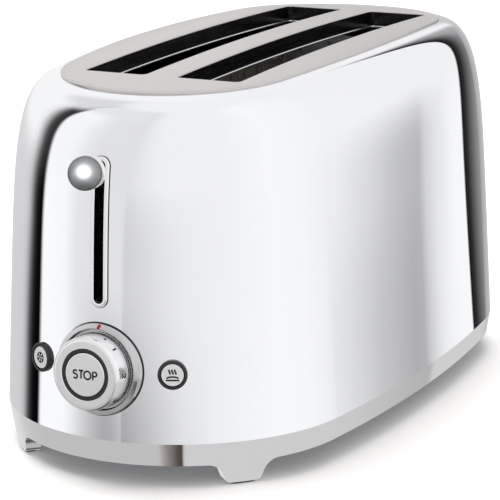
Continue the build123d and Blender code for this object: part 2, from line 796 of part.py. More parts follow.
for name, x in (("left", -heater_x), ("centre", 0), ("right", heater_x)):
    card = heater_card(x)
    card.part.label = "heater_card_" + name
    export_step(card.part, "parts/heater_card_" + name + ".step")
    winding = heater_winding(x)
    winding.part.label = "heater_winding_" + name
    export_step(winding.part, "parts/heater_winding_" + name + ".step")


# Bread guards: welded wire grids whose long wires slide in the chassis plates' slots
def bread_guard(side, hand):
    x = guard_x(side, hand)
    wire_length = chamber_length + 2 * chassis_sheet + 2 * guard_overhang
    upright_pitch = (slot_length - 4 * guard_upright_radius) / (guard_uprights - 1)
    with BuildPart() as guard:
        with BuildSketch(Plane(origin=(x, chamber_y, 0), x_dir=(1, 0, 0), z_dir=(0, -1, 0))):
            with Locations((0, guard_bottom_z), (0, guard_top_z)):
                Circle(guard_wire_radius)
        extrude(amount=wire_length / 2, both=True)
        with BuildSketch(Plane.XY.offset(guard_bottom_z)):
            with Locations((x, slot_y)):
                with GridLocations(1, upright_pitch, 1, guard_uprights):
                    Circle(guard_upright_radius)
        extrude(amount=guard_top_z - guard_bottom_z)
    return guard


for side, side_name in ((-1, "left"), (1, "right")):
    for hand, hand_name in ((side, "outer"), (-side, "inner")):
        guard = bread_guard(side, hand)
        name = "bread_guard_" + side_name + "_" + hand_name
        guard.part.label = name
        export_step(guard.part, "parts/" + name + ".step")

# Bread lifts: a long shelf in each slot with upturned fins, carried by the carriage at its front neck
lift_front = front_plate_y - chassis_sheet / 2 - carriage_gap
lift_rear = rear_plate_y + chassis_sheet / 2 + lift_overhang


def bread_lift(side):
    shelf_length = chamber_length - 2 * lift_end_gap
    with BuildPart() as lift:
        with BuildSketch(Plane.XY.offset(lift_z)):
            with Locations((side * slot_centre_x, chamber_y)):
                RectangleRounded(lift_width, shelf_length, 2)
            with Locations((side * slot_centre_x, (lift_front + lift_rear) / 2)):
                Rectangle(lift_neck_width, lift_rear - lift_front)
        extrude(amount=lift_sheet)
        with BuildSketch(Plane.XY.offset(lift_z)):
            with Locations((side * slot_centre_x, chamber_y)):
                with GridLocations(1, (shelf_length - 2 * lift_width) / (lift_fins - 1), 1, lift_fins):
                    Rectangle(lift_width, lift_sheet)
        extrude(amount=lift_sheet + lift_fin_height)
    return lift


bread_lift_left = bread_lift(-1)
bread_lift_left.part.label = "bread_lift_left"
export_step(bread_lift_left.part, "parts/bread_lift_left.step")
bread_lift_right = bread_lift(1)
bread_lift_right.part.label = "bread_lift_right"
export_step(bread_lift_right.part, "parts/bread_lift_right.step")

# Carriage: folded sheet that carries both lifts, with a hub that slides on the guide rod
carriage_bottom_z = lift_z - carriage_bar_height / 2
with BuildPart() as carriage:
    with BuildSketch(Plane(origin=(0, lift_front, 0), x_dir=(1, 0, 0), z_dir=(0, -1, 0))):
        with Locations((0, lift_z)):
            RectangleRounded(2 * carriage_bar_half_width, carriage_bar_height, 2)
        with Locations((0, (lift_z + hub_top_z) / 2)):
            Rectangle(carriage_web_width, hub_top_z - lift_z)
    extrude(amount=carriage_sheet)
    with BuildSketch(Plane.XY.offset(hub_top_z - hub_height)):
        with Locations((0, rod_y)):
            RectangleRounded(hub_width, hub_depth, 1.5)
    extrude(amount=hub_height)
    with BuildSketch(Plane.XY.offset(hub_top_z - hub_height)):
        with Locations((0, rod_y)):
            Circle(rod_radius + running_gap)
    extrude(amount=hub_height, mode=Mode.SUBTRACT)
carriage.part.label = "carriage"
export_step(carriage.part, "parts/carriage.step")

# Guide rod: ground steel rod between the two brackets of the front chassis plate
with BuildPart() as guide_rod:
    with BuildSketch(Plane.XY.offset(rod_bottom_z)):
        with Locations((0, rod_y)):
            Circle(rod_radius)
    extrude(amount=rod_top_z - rod_bottom_z)
guide_rod.part.label = "guide_rod"
export_step(guide_rod.part, "parts/guide_rod.step")

# Lift spring: open coil round the guide rod, pressed between the lower bracket and the hub
spring_bottom = rod_bottom_z + spring_wire_radius
spring_top = hub_top_z - hub_height - spring_wire_radius
spring_pitch = (spring_top - spring_bottom) / spring_turns
with BuildPart() as lift_spring:
    with BuildLine(Plane(origin=(0, rod_y, spring_bottom))):
        Helix(pitch=spring_pitch, height=spring_top - spring_bottom, radius=spring_radius)
    with BuildSketch(Plane(origin=(spring_radius, rod_y, spring_bottom), x_dir=(1, 0, 0), z_dir=(0, 1, 0))):
        RegularPolygon(spring_wire_radius, 6)
    sweep(is_frenet=True)
lift_spring.part.label = "lift_spring"
export_step(lift_spring.part, "parts/lift_spring.step")
print("least gap between spring turns", round(spring_pitch - 2 * spring_wire_radius, 2))

# Electromagnet and armature: the coil on the front plate holds the carriage's armature at the bottom
magnet_y = front_plate_y - chassis_sheet / 2 - carriage_gap - carriage_sheet - armature_size / 2
magnet_top_z = carriage_bottom_z - lift_travel - sliding_gap
with BuildPart() as electromagnet:
    with BuildSketch(Plane.XY.offset(magnet_top_z - magnet_height)):
        with Locations((magnet_x, magnet_y)):
            Circle(magnet_radius)
    extrude(amount=magnet_height)
    with BuildSketch(Plane.XY.offset(magnet_top_z - magnet_height)):
        foot_depth = front_plate_y - chassis_sheet / 2 - magnet_y + magnet_radius
        with Locations((magnet_x, front_plate_y - chassis_sheet / 2 - foot_depth / 2)):
            Rectangle(2 * magnet_radius, foot_depth)
    extrude(amount=magnet_foot)
electromagnet.part.label = "electromagnet"
export_step(electromagnet.part, "parts/electromagnet.step")

with BuildPart() as armature:
    with BuildSketch(Plane.XY.offset(carriage_bottom_z)):
        with Locations((magnet_x, magnet_y)):
            Rectangle(armature_size, armature_size)
    extrude(amount=armature_thickness)
armature.part.label = "armature"
export_step(armature.part, "parts/armature.step")

# Lever: steel arm from the hub through the slot, with a dished collar and a polished ball on its stud
ball_y = mid_y - ball_reach
collar_back_y = ball_y + ball_flat + collar_thickness
with BuildPart() as lever_arm:
    arm_front = rod_y - hub_depth / 2
    with BuildSketch(Plane(origin=(0, arm_front, ball_z), x_dir=(1, 0, 0), z_dir=(0, -1, 0))):
        RectangleRounded(arm_width, arm_height, arm_corner_radius)
    extrude(amount=arm_front - collar_back_y)
    with BuildSketch(Plane(origin=(0, collar_back_y, ball_z), x_dir=(1, 0, 0), z_dir=(0, -1, 0))):
        Circle(stud_radius)
    extrude(amount=collar_thickness + stud_length)
lever_arm.part.label = "lever_arm"
export_step(lever_arm.part, "parts/lever_arm.step")

with BuildPart() as lever_collar:
    with BuildSketch(Plane(origin=(0, collar_back_y, ball_z), x_dir=(1, 0, 0), z_dir=(0, -1, 0))):
        Circle(collar_radius)
        Circle(stud_radius, mode=Mode.SUBTRACT)
    extrude(amount=collar_thickness)
    fillet(lever_collar.edges().filter_by(GeomType.CIRCLE).group_by(SortBy.RADIUS)[-1], 0.9)
lever_collar.part.label = "lever_collar"
export_step(lever_collar.part, "parts/lever_collar.step")

with BuildPart() as lever_ball:
    with Locations((0, ball_y, ball_z)):
        Sphere(ball_radius)
    split(bisect_by=Plane(origin=(0, ball_y + ball_flat, ball_z), z_dir=(0, -1, 0)), keep=Keep.TOP)
    with BuildSketch(Plane(origin=(0, ball_y + ball_flat, ball_z), x_dir=(1, 0, 0), z_dir=(0, -1, 0))):
        Circle(stud_radius)
    extrude(amount=stud_length, mode=Mode.SUBTRACT)
lever_ball.part.label = "lever_ball"
export_step(lever_ball.part, "parts/lever_ball.step")


# Lever bezel: bright rim that follows the bowed wall, with a tongue through the shell
def wall_band(outside, inside):
    """Side view of a band that follows the front wall between two distances from it."""
    heights = [bezel_bottom_z - bezel_rim + (bezel_height + 2 * bezel_rim) * step / 8 for step in range(9)]
    outer = [(mid_y - wall_reach(z) - outside, z) for z in heights]
    inner = [(mid_y - wall_reach(z) - inside, z) for z in heights]
    with BuildSketch(mode=Mode.PRIVATE) as band:
        with BuildLine():
            Spline(*outer)
            Spline(*inner)
            Line(outer[0], inner[0])
            Line(outer[-1], inner[-1])
        make_face()
    return band.sketch


with BuildPart() as bezel_tongue:
    with BuildSketch(Plane.YZ):
        add(wall_band(seat_gap, -bezel_tongue_depth))
    extrude(amount=bezel_width, both=True)
    with BuildSketch(lever_plane):
        SlotOverall(tongue_height, tongue_width, rotation=90)
    extrude(amount=bezel_height, both=True, mode=Mode.INTERSECT)

with BuildPart() as lever_bezel:
    with BuildSketch(Plane.YZ):
        add(wall_band(bezel_proud, seat_gap))
    extrude(amount=bezel_width, both=True)
    with BuildSketch(lever_plane):
        SlotOverall(bezel_height, bezel_width, rotation=90)
    extrude(amount=bezel_height, both=True, mode=Mode.INTERSECT)
    add(bezel_tongue.part)
    with BuildSketch(lever_plane):
        SlotOverall(bezel_height - 2 * bezel_rim, bezel_gap_width, rotation=90)
    extrude(amount=bezel_height, both=True, mode=Mode.SUBTRACT)
lever_bezel.part.label = "lever_bezel"
export_step(lever_bezel.part, "parts/lever_bezel.step")


# Controls on the round front end are hollowed behind by a cone with the wall's own slope
cone_low, cone_high = dial_z - 1.5 * dial_bezel_radius, dial_z + 1.5 * dial_bezel_radius
with BuildPart() as front_cone:
    with BuildSketch(Plane(origin=(0, mid_y - end_centre, cone_low))):
        Circle(wall_reach(cone_low) - end_centre + seat_gap)
    with BuildSketch(Plane(origin=(0, mid_y - end_centre, cone_high))):
        Circle(wall_reach(cone_high) - end_centre + seat_gap)
    loft(ruled=True)


# Dial bezel: turned rim on the wall, with a threaded barrel through it
with BuildPart() as dial_bezel:
    with BuildSketch(Plane(origin=dial_plane.origin, x_dir=dial_plane.x_dir, z_dir=-dial_plane.y_dir)):
        with BuildLine():
            Polyline(
                (knob_tube_radius + sliding_gap, -dial_sink), (dial_bezel_radius, -dial_sink),
                (dial_bezel_radius, dial_floor), (dial_rim_radius, dial_bezel_proud),
                (dial_floor_radius + dial_floor, dial_bezel_proud - 0.4), (dial_floor_radius, dial_floor),
                (knob_tube_radius + sliding_gap, dial_floor), close=True
            )
        make_face()
    revolve(axis=Axis(dial_plane.origin, dial_plane.z_dir))
    add(front_cone.part, mode=Mode.SUBTRACT)
    with BuildSketch(dial_plane):
        Circle(dial_barrel_radius)
        Circle(knob_tube_radius + sliding_gap, mode=Mode.SUBTRACT)
    extrude(amount=-dial_barrel_length)
dial_bezel.part.label = "dial_bezel"
export_step(dial_bezel.part, "parts/dial_bezel.step")

with BuildPart() as dial_nut:
    with BuildSketch(dial_plane.offset(-nut_stand_off)):
        RegularPolygon(dial_nut_flats / 2, 6, major_radius=False)
        Circle(dial_barrel_radius, mode=Mode.SUBTRACT)
    extrude(amount=-nut_thickness)
dial_nut.part.label = "dial_nut"
export_step(dial_nut.part, "parts/dial_nut.step")

# Dial knob: turned knob with a deep recess, on a tube that turns in the encoder
knob_back = dial_floor + knob_lift
knob_recess_floor = knob_front - knob_recess_depth
encoder_front = -board_depth + encoder_height
tube_end = encoder_front - encoder_bearing
with BuildPart() as dial_knob:
    with BuildSketch(dial_plane.offset(knob_back)):
        Circle(knob_back_radius)
    with BuildSketch(dial_plane.offset(knob_front)):
        Circle(knob_front_radius)
    loft(ruled=True)
    fillet(dial_knob.faces().sort_by(Axis(dial_plane.origin, dial_plane.z_dir))[-1].edges(), knob_edge_radius)
    with BuildSketch(dial_plane.offset(knob_recess_floor)):
        Circle(knob_recess_radius)
    extrude(amount=knob_recess_depth, mode=Mode.SUBTRACT)
    with BuildSketch(dial_plane.offset(knob_back)):
        Circle(knob_tube_radius)
    extrude(amount=tube_end - knob_back)
    with BuildSketch(dial_plane.offset(tube_end)):
        Circle(stop_stem_radius + sliding_gap)
    extrude(amount=knob_front - tube_end, mode=Mode.SUBTRACT)
dial_knob.part.label = "dial_knob"
export_step(dial_knob.part, "parts/dial_knob.step")

# Dial insert: dark ring pressed into the knob round the stop button
with BuildPart() as dial_insert:
    with BuildSketch(dial_plane.offset(knob_recess_floor)):
        Circle(knob_recess_radius)
        Circle(insert_inner_radius, mode=Mode.SUBTRACT)
    extrude(amount=knob_recess_depth - insert_sink)
dial_insert.part.label = "dial_insert"
export_step(dial_insert.part, "parts/dial_insert.step")

# Stop button: flat head in the knob's recess, with a stem down to the switch
with BuildPart() as stop_button:
    with BuildSketch(dial_plane.offset(knob_front - stop_height)):
        Circle(stop_radius)
    extrude(amount=stop_height)
    fillet(stop_button.faces().sort_by(Axis(dial_plane.origin, dial_plane.z_dir))[-1].edges(), 0.5)
    with BuildSketch(dial_plane.offset(knob_front - stop_height)):
        Circle(stop_stem_radius)
    extrude(amount=-stop_stem_length)
stop_button.part.label = "stop_button"
export_step(stop_button.part, "parts/stop_button.step")

# Control board with its bracket, the encoder round the knob's tube and the stop switch inside it
with BuildPart() as control_board:
    with BuildSketch(dial_plane.offset(-board_depth)):
        Rectangle(2 * board_half_width, 2 * board_half_height)
    extrude(amount=-board_thickness)
control_board.part.label = "control_board"
export_step(control_board.part, "parts/control_board.step")

board_back = board_depth + board_thickness
tilt = radians(wall_tilt(dial_z))


def behind_board(depth, z):
    """Y at a height on the plane that lies a depth behind the dial's face."""
    up = (z - dial_z + depth * sin(tilt)) / cos(tilt)
    return (mid_y - wall_reach(dial_z)) + depth * cos(tilt) + up * sin(tilt)


with BuildPart() as board_bracket:
    top = dial_z + board_half_height - 2
    front, back = board_back, board_back + board_bracket_sheet
    foot_top = deck_z + board_bracket_sheet
    with BuildSketch(Plane.YZ):
        with BuildLine():
            Polyline(
                (behind_board(front, top), top), (behind_board(front, deck_z), deck_z),
                (behind_board(front, deck_z) + board_bracket_foot, deck_z),
                (behind_board(front, deck_z) + board_bracket_foot, foot_top),
                (behind_board(back, foot_top), foot_top), (behind_board(back, top), top), close=True
            )
        make_face()
    extrude(amount=board_bracket_half_width, both=True)
board_bracket.part.label = "board_bracket"
export_step(board_bracket.part, "parts/board_bracket.step")

with BuildPart() as dial_encoder:
    with BuildSketch(dial_plane.offset(-board_depth)):
        RectangleRounded(encoder_size, encoder_size, 2)
    extrude(amount=encoder_height)
    with BuildSketch(dial_plane.offset(-board_depth)):
        Circle(knob_tube_radius + running_gap)
    extrude(amount=encoder_height, mode=Mode.SUBTRACT)
    with BuildSketch(dial_plane.offset(-board_depth)):
        Circle(encoder_cavity_radius)
    extrude(amount=encoder_height - encoder_bearing, mode=Mode.SUBTRACT)
dial_encoder.part.label = "dial_encoder"
export_step(dial_encoder.part, "parts/dial_encoder.step")

stem_end = knob_front - stop_height - stop_stem_length
with BuildPart() as stop_switch:
    with BuildSketch(dial_plane.offset(-board_depth)):
        Rectangle(switch_size, switch_size)
    extrude(amount=board_depth + stem_end - stop_travel - sliding_gap)
stop_switch.part.label = "stop_switch"
export_step(stop_switch.part, "parts/stop_switch.step")


# Defrost and reheat buttons: each has a dark bezel with a barrel, a plunger, a nut and a switch body
def button_bezel(plane):
    with BuildPart() as bezel:
        with BuildSketch(plane.offset(-button_bezel_proud)):
            Circle(button_bezel_radius)
        extrude(amount=2 * button_bezel_proud)
        fillet(bezel.faces().sort_by(Axis(plane.origin, plane.z_dir))[-1].edges(), 0.8)
        add(front_cone.part, mode=Mode.SUBTRACT)
        with BuildSketch(plane.offset(-button_barrel_length)):
            Circle(button_barrel_radius)
        extrude(amount=button_barrel_length)
        with BuildSketch(plane.offset(-button_barrel_length)):
            Circle(button_bore_radius)
        extrude(amount=2 * button_barrel_length, mode=Mode.SUBTRACT)
    return bezel


def button_plunger(plane):
    with BuildPart() as plunger:
        with BuildSketch(plane.offset(button_proud - button_head_length)):
            Circle(button_radius)
        extrude(amount=button_head_length)
        fillet(plunger.faces().sort_by(Axis(plane.origin, plane.z_dir))[-1].edges(), 0.4)
        with BuildSketch(plane.offset(button_proud - button_head_length)):
            Circle(button_stem_radius)
        extrude(amount=-button_stem_length)
    return plunger


stem_depth = button_stem_length + button_head_length - button_proud - button_barrel_length + sliding_gap


def button_switch(plane):
    with BuildPart() as switch:
        with BuildSketch(plane.offset(-button_barrel_length)):
            RectangleRounded(switch_body_size, switch_body_size, 1.5)
        extrude(amount=-switch_body_depth)
        with BuildSketch(plane.offset(-button_barrel_length)):
            Circle(button_stem_radius + sliding_gap)
        extrude(amount=-(stem_depth + button_travel), mode=Mode.SUBTRACT)
    return switch


for name, plane in (("defrost", defrost_plane), ("reheat", reheat_plane)):
    bezel = button_bezel(plane)
    bezel.part.label = name + "_bezel"
    export_step(bezel.part, "parts/" + name + "_bezel.step")
    plunger = button_plunger(plane)
    plunger.part.label = name + "_button"
    export_step(plunger.part, "parts/" + name + "_button.step")
    switch = button_switch(plane)
    switch.part.label = name + "_switch"
    export_step(switch.part, "parts/" + name + "_switch.step")

with BuildPart() as button_nuts:
    for plane in (defrost_plane, reheat_plane):
        with BuildSketch(plane.offset(-nut_stand_off)):
            RegularPolygon(button_nut_flats / 2, 6, major_radius=False)
            Circle(button_barrel_radius, mode=Mode.SUBTRACT)
        extrude(amount=-nut_thickness)
button_nuts.part.label = "button_nuts"
export_step(button_nuts.part, "parts/button_nuts.step")
print("middle of the body at Y =", round(mid_y, 3), "and chamber middle at Y =", round(chamber_y, 3))
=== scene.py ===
import math

import bmesh
import bpy
from mathutils import Matrix, Vector
from mathutils.geometry import delaunay_2d_cdt


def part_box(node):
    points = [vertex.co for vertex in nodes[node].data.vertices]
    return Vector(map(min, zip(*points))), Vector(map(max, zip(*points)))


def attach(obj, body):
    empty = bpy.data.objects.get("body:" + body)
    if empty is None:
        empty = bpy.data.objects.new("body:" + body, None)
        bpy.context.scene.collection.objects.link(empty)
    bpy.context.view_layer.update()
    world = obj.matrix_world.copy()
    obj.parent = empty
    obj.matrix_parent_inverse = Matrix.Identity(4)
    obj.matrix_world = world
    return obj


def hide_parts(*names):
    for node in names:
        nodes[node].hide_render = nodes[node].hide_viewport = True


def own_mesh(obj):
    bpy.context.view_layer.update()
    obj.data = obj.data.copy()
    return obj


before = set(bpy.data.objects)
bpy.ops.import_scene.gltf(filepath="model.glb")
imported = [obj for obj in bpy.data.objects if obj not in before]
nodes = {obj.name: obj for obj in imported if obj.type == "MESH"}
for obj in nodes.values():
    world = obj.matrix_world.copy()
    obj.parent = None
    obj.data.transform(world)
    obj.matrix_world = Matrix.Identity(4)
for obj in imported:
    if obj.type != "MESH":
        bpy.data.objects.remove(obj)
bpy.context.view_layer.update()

mm = 0.001


# Base casting: the toaster stands on one die-cast aluminium ring with four splayed legs, polished
# and clear-lacquered. The shell's foot sits in a step round its upper edge.
def new_finish(name, colour, rough, spread, tint, grain, depth=0.0, metal=1.0, distortion=0.0):
    material = bpy.data.materials.new(name)
    material.use_nodes = True
    tree = material.node_tree
    shader = tree.nodes["Principled BSDF"]
    shader.inputs["Metallic"].default_value = metal
    place = tree.nodes.new("ShaderNodeTexCoord")
    stretch = tree.nodes.new("ShaderNodeMapping")
    stretch.inputs["Scale"].default_value = grain if isinstance(grain, tuple) else (grain,) * 3
    noise = tree.nodes.new("ShaderNodeTexNoise")
    noise.inputs["Scale"].default_value = 1.0
    noise.inputs["Detail"].default_value = 4.0
    noise.inputs["Roughness"].default_value = 0.6
    noise.inputs["Distortion"].default_value = distortion
    tree.links.new(place.outputs["Object"], stretch.inputs["Vector"])
    tree.links.new(stretch.outputs["Vector"], noise.inputs["Vector"])

    def varied(low, high):
        step = tree.nodes.new("ShaderNodeMapRange")
        step.inputs["From Min"].default_value = 0.3
        step.inputs["From Max"].default_value = 0.7
        step.inputs["To Min"].default_value = low
        step.inputs["To Max"].default_value = high
        tree.links.new(noise.outputs["Fac"], step.inputs["Value"])
        return step.outputs["Result"]

    paint = tree.nodes.new("ShaderNodeVectorMath")
    paint.operation = "SCALE"
    paint.inputs[0].default_value = colour
    tree.links.new(varied(1.0 - tint, 1.0 + tint), paint.inputs["Scale"])
    tree.links.new(paint.outputs["Vector"], shader.inputs["Base Color"])
    tree.links.new(varied(max(rough - spread, 0.0), min(rough + spread, 1.0)), shader.inputs["Roughness"])
    if depth:
        bump = tree.nodes.new("ShaderNodeBump")
        bump.inputs["Strength"].default_value = 0.5
        bump.inputs["Distance"].default_value = depth
        tree.links.new(noise.outputs["Fac"], bump.inputs["Height"])
        tree.links.new(bump.outputs["Normal"], shader.inputs["Normal"])
    return material


def dress(material, *names):
    for name in names:
        for slot in nodes[name].material_slots:
            slot.material = material


cast_polish = new_finish("cast_polish", (0.97, 0.97, 0.975), rough=0.03, spread=0.012, tint=0.01, grain=700,
                         depth=2e-6)
dress(cast_polish, "base_ring")

# Foot pads: four blocks of soft black rubber, moulded to fit and pressed under the legs, so that the
# casting never touches the worktop.
foot_rubber = new_finish("foot_rubber", (0.03, 0.03, 0.032), rough=0.75, spread=0.08, tint=0.2, grain=1500,
                         depth=8e-5, metal=0.0)
dress(foot_rubber, "foot_pads")

# Underside and chassis: a pressed zinc-coated steel plate with vents, held by pan-head screws through the
# ring's posts. The end plates and the board's bracket are of the same sheet. The cord bush, the terminal
# block and the bodies of the switches are moulded in black plastic.
zinc_sheet = new_finish("zinc_sheet", (0.55, 0.57, 0.6), rough=0.36, spread=0.1, tint=0.12, grain=180,
                        depth=2e-5, distortion=2.0)
screw_zinc = new_finish("screw_zinc", (0.68, 0.68, 0.7), rough=0.25, spread=0.08, tint=0.06, grain=900,
                        depth=1e-5)
black_plastic = new_finish("black_plastic", (0.018, 0.018, 0.019), rough=0.42, spread=0.05, tint=0.15,
                           grain=1800, depth=3e-5, metal=0.0)
dress(zinc_sheet, "bottom_plate", "chassis_front", "chassis_rear", "board_bracket")
dress(screw_zinc, "base_screws", "chassis_screws")
dress(black_plastic, "cord_bush", "terminal_block", "defrost_switch", "reheat_switch", "stop_switch",
      "dial_encoder")

# Crumb tray: a shallow tray folded from bright stainless steel sheet. It slides on the rails of the bottom
# plate and pulls out at the rear end, where its lip closes the window in the ring.
tray_steel = new_finish("tray_steel", (0.72, 0.71, 0.7), rough=0.24, spread=0.06, tint=0.05,
                        grain=(1200, 30, 1200), depth=1e-5)
dress(tray_steel, "crumb_tray")

# Heat shields: two walls of bright steel sheet, tinted straw by the heat. They stand along the sides, and
# their flanges are screwed to the end plates.
shield_steel = new_finish("shield_steel", (0.7, 0.68, 0.64), rough=0.2, spread=0.08, tint=0.1, grain=60,
                          depth=1e-5, distortion=1.5)
dress(shield_steel, "heat_shield_left", "heat_shield_right")

# Heaters: three cards of speckled mica that stand between the end plates, with flat ribbon of dull
# resistance alloy wound round each in one unbroken run.
mica_card = new_finish("mica_card", (0.2, 0.18, 0.15), rough=0.5, spread=0.12, tint=0.35, grain=500,
                       depth=3e-5, metal=0.0, distortion=3.0)
ribbon_alloy = new_finish("ribbon_alloy", (0.34, 0.32, 0.31), rough=0.4, spread=0.08, tint=0.15, grain=700,
                          depth=1e-5)
dress(mica_card, "heater_card_left", "heater_card_centre", "heater_card_right")
dress(ribbon_alloy, "heater_winding_left", "heater_winding_centre", "heater_winding_right")

# Bread guards: four grids of drawn steel wire, spot-welded and electroplated bright. Their long wires run
# in slots of the end plates, so that each grid can close on the bread.
guard_wire = new_finish("guard_wire", (0.8, 0.8, 0.81), rough=0.16, spread=0.05, tint=0.04, grain=900,
                        depth=1e-5)
dress(guard_wire, "bread_guard_left_outer", "bread_guard_left_inner", "bread_guard_right_outer",
      "bread_guard_right_inner")

# Lift: two finned steel bars on a folded carriage that slides on a ground rod against a coiled spring.
# An electromagnet on the chassis holds the carriage's armature down while the bread toasts.
lift_steel = new_finish("lift_steel", (0.66, 0.66, 0.66), rough=0.3, spread=0.08, tint=0.06, grain=400,
                        depth=1e-5)
ground_rod = new_finish("ground_rod", (0.78, 0.78, 0.79), rough=0.12, spread=0.03, tint=0.02,
                        grain=(1500, 1500, 60), depth=5e-6)
copper_coil = new_finish("copper_coil", (0.6, 0.27, 0.12), rough=0.35, spread=0.08, tint=0.2,
                         grain=(200, 200, 4200), depth=4e-5)
dress(lift_steel, "bread_lift_left", "bread_lift_right", "carriage", "armature")
dress(ground_rod, "guide_rod")
dress(copper_coil, "electromagnet")

# Control board: a board of glass-fibre laminate under green lacquer, which stands upright behind the
# dial. A folded steel bracket holds it.
board_green = new_finish("board_green", (0.03, 0.16, 0.07), rough=0.3, spread=0.05, tint=0.25, grain=260,
                         depth=1e-5, metal=0.0)
dress(board_green, "control_board")

# Body shell: one drawn wrap of steel sheet, polished and chrome-plated, crowned along its length.
# Its lower edge drops into the base ring and its top turns in under the slot plate.
half_length, half_width, end_radius = 194, 104, 98
end_offset = half_length - end_radius
side_radius = (half_width ** 2 - end_radius ** 2 + end_offset ** 2) / (2 * (half_width - end_radius))
side_offset = side_radius - half_width
join_bearing = math.atan2(end_offset, side_offset)
front_bearing = -math.pi / 2
middle_y, seam_z = 8.21, 24.4
crown_top, crown_radius = 206.5, 3460
wall_lean, shoulder_width, shoulder_start, shoulder_round = 8.8, 27.2, 7, 2.9
plate_inset, plate_thick, shell_sheet = 33, 1.0, 1.2


def crown_z(y):
    return crown_top - crown_radius + math.sqrt(crown_radius ** 2 - y * y)


# The wall leans in by wall_lean as it rises, and rolls over at its top by shoulder_width.
def wall_inset(share):
    return wall_lean * share + shoulder_width * (1 - (1 - share ** shoulder_start) ** (1 / shoulder_round))


# Seen from above, the wall is two round ends joined by two slightly bowed sides.
def wall_arc(bearing):
    if abs(math.sin(bearing)) > math.sin(join_bearing):
        return 0, math.copysign(end_offset, math.sin(bearing)), end_radius
    return -math.copysign(side_offset, math.cos(bearing)), 0, side_radius


def wall_point(bearing, share):
    arc_x, arc_y, radius = wall_arc(bearing)
    rim_z = crown_z(arc_y + (radius - plate_inset) * math.sin(bearing)) - plate_thick
    reach = radius - wall_inset(share)
    return Vector((arc_x + reach * math.cos(bearing), middle_y + arc_y + reach * math.sin(bearing),
                   seam_z + share * (rim_z - seam_z)))


def wall_normal(bearing, share):
    nudge = 1e-4
    across = wall_point(bearing + nudge, share) - wall_point(bearing - nudge, share)
    rise = wall_point(bearing, min(share + nudge, 1)) - wall_point(bearing, max(share - nudge, 0))
    return across.cross(rise).normalized()


def new_piece(name, points, faces, materials, face_materials=None, turn_out=True):
    mesh = bpy.data.meshes.new(name)
    mesh.from_pydata([Vector(point) * mm for point in points], [], faces)
    piece = bpy.data.objects.new(name, mesh)
    bpy.context.scene.collection.objects.link(piece)
    for material in materials:
        mesh.materials.append(material)
    if face_materials:
        mesh.polygons.foreach_set("material_index", face_materials)
    if turn_out:
        skin = bmesh.new()
        skin.from_mesh(mesh)
        bmesh.ops.recalc_face_normals(skin, faces=skin.faces)
        skin.to_mesh(mesh)
        skin.free()
    mesh.shade_smooth()
    mesh.update()
    return piece


# The grid is finest where the wall is bored and where it curves most.
def spaced_columns():
    front, fine_step, fine_steps = 270, 0.55, 54
    front_end, next_front = 299.7, 600.3
    corner_steps, side_steps, rear_steps = 40, 44, 116
    join = math.degrees(join_bearing)
    degrees = [front + fine_step * step for step in range(-fine_steps, fine_steps + 1)]
    for first, last, steps in ((front_end, 360 - join, corner_steps), (360 - join, 360 + join, side_steps),
                               (360 + join, 540 - join, rear_steps), (540 - join, 540 + join, side_steps),
                               (540 + join, next_front, corner_steps)):
        degrees += [first + (last - first) * step / steps for step in range(1, steps + 1)]
    return [math.radians(value) for value in degrees[:-1]]


def spaced_rows():
    tries, fine_rise, plain_rise = 12000, 1.25, 3.5
    fine_bands = ((51, 73), (93, 99), (150, math.inf))
    shares, walked, last = [0.0], 0.0, wall_point(front_bearing, 0)
    for step in range(1, tries + 1):
        share = 1 - (1 - step / tries) ** 3
        here = wall_point(front_bearing, share)
        fine = any(low < here.z < high for low, high in fine_bands)
        walked += (here - last).length / (fine_rise if fine else plain_rise)
        last = here
        if walked >= 1:
            shares.append(share)
            walked = 0.0
    shares[-1] = 1.0
    return shares


columns, rows = spaced_columns(), spaced_rows()
control_z, button_drop, button_turn, wall_height = 62.2, 0.5, math.radians(23.8), 181
dial_bore, button_bore, bore_margin = 10.0, 6.9, 1.6
control_share = (control_z - seam_z) / (crown_top - plate_thick - seam_z)
bores = [(front_bearing, control_share, dial_bore)]
bores += [(front_bearing + hand * button_turn, control_share - button_drop / wall_height, button_bore)
          for hand in (-1, 1)]
gap_half_turn, gap_bottom, gap_top = math.radians(2.3), 95.8, 172.0


# The wall is pierced for the dial, the two buttons and the lever.
def cut_away(bearing, share):
    point = wall_point(bearing, share)
    off_centre = (bearing - front_bearing + math.pi) % (2 * math.pi) - math.pi
    if abs(off_centre) < gap_half_turn and gap_bottom < point.z < gap_top:
        return True
    return any((point - wall_point(turn_to, rise_to)).length < radius for turn_to, rise_to, radius in bores)


# The corners that stand next to a bore are drawn in to its round edge.
def eased_to_bore(bearing, share):
    for turn_to, rise_to, radius in bores:
        off_centre = (bearing - turn_to + math.pi) % (2 * math.pi) - math.pi
        centre = wall_point(turn_to, rise_to)
        if (wall_point(bearing, share) - centre).length < radius + bore_margin:
            for again in range(3):
                scale = radius / (wall_point(turn_to + off_centre, share) - centre).length
                off_centre, share = off_centre * scale, rise_to + (share - rise_to) * scale
            return turn_to + off_centre, share
    return bearing, share


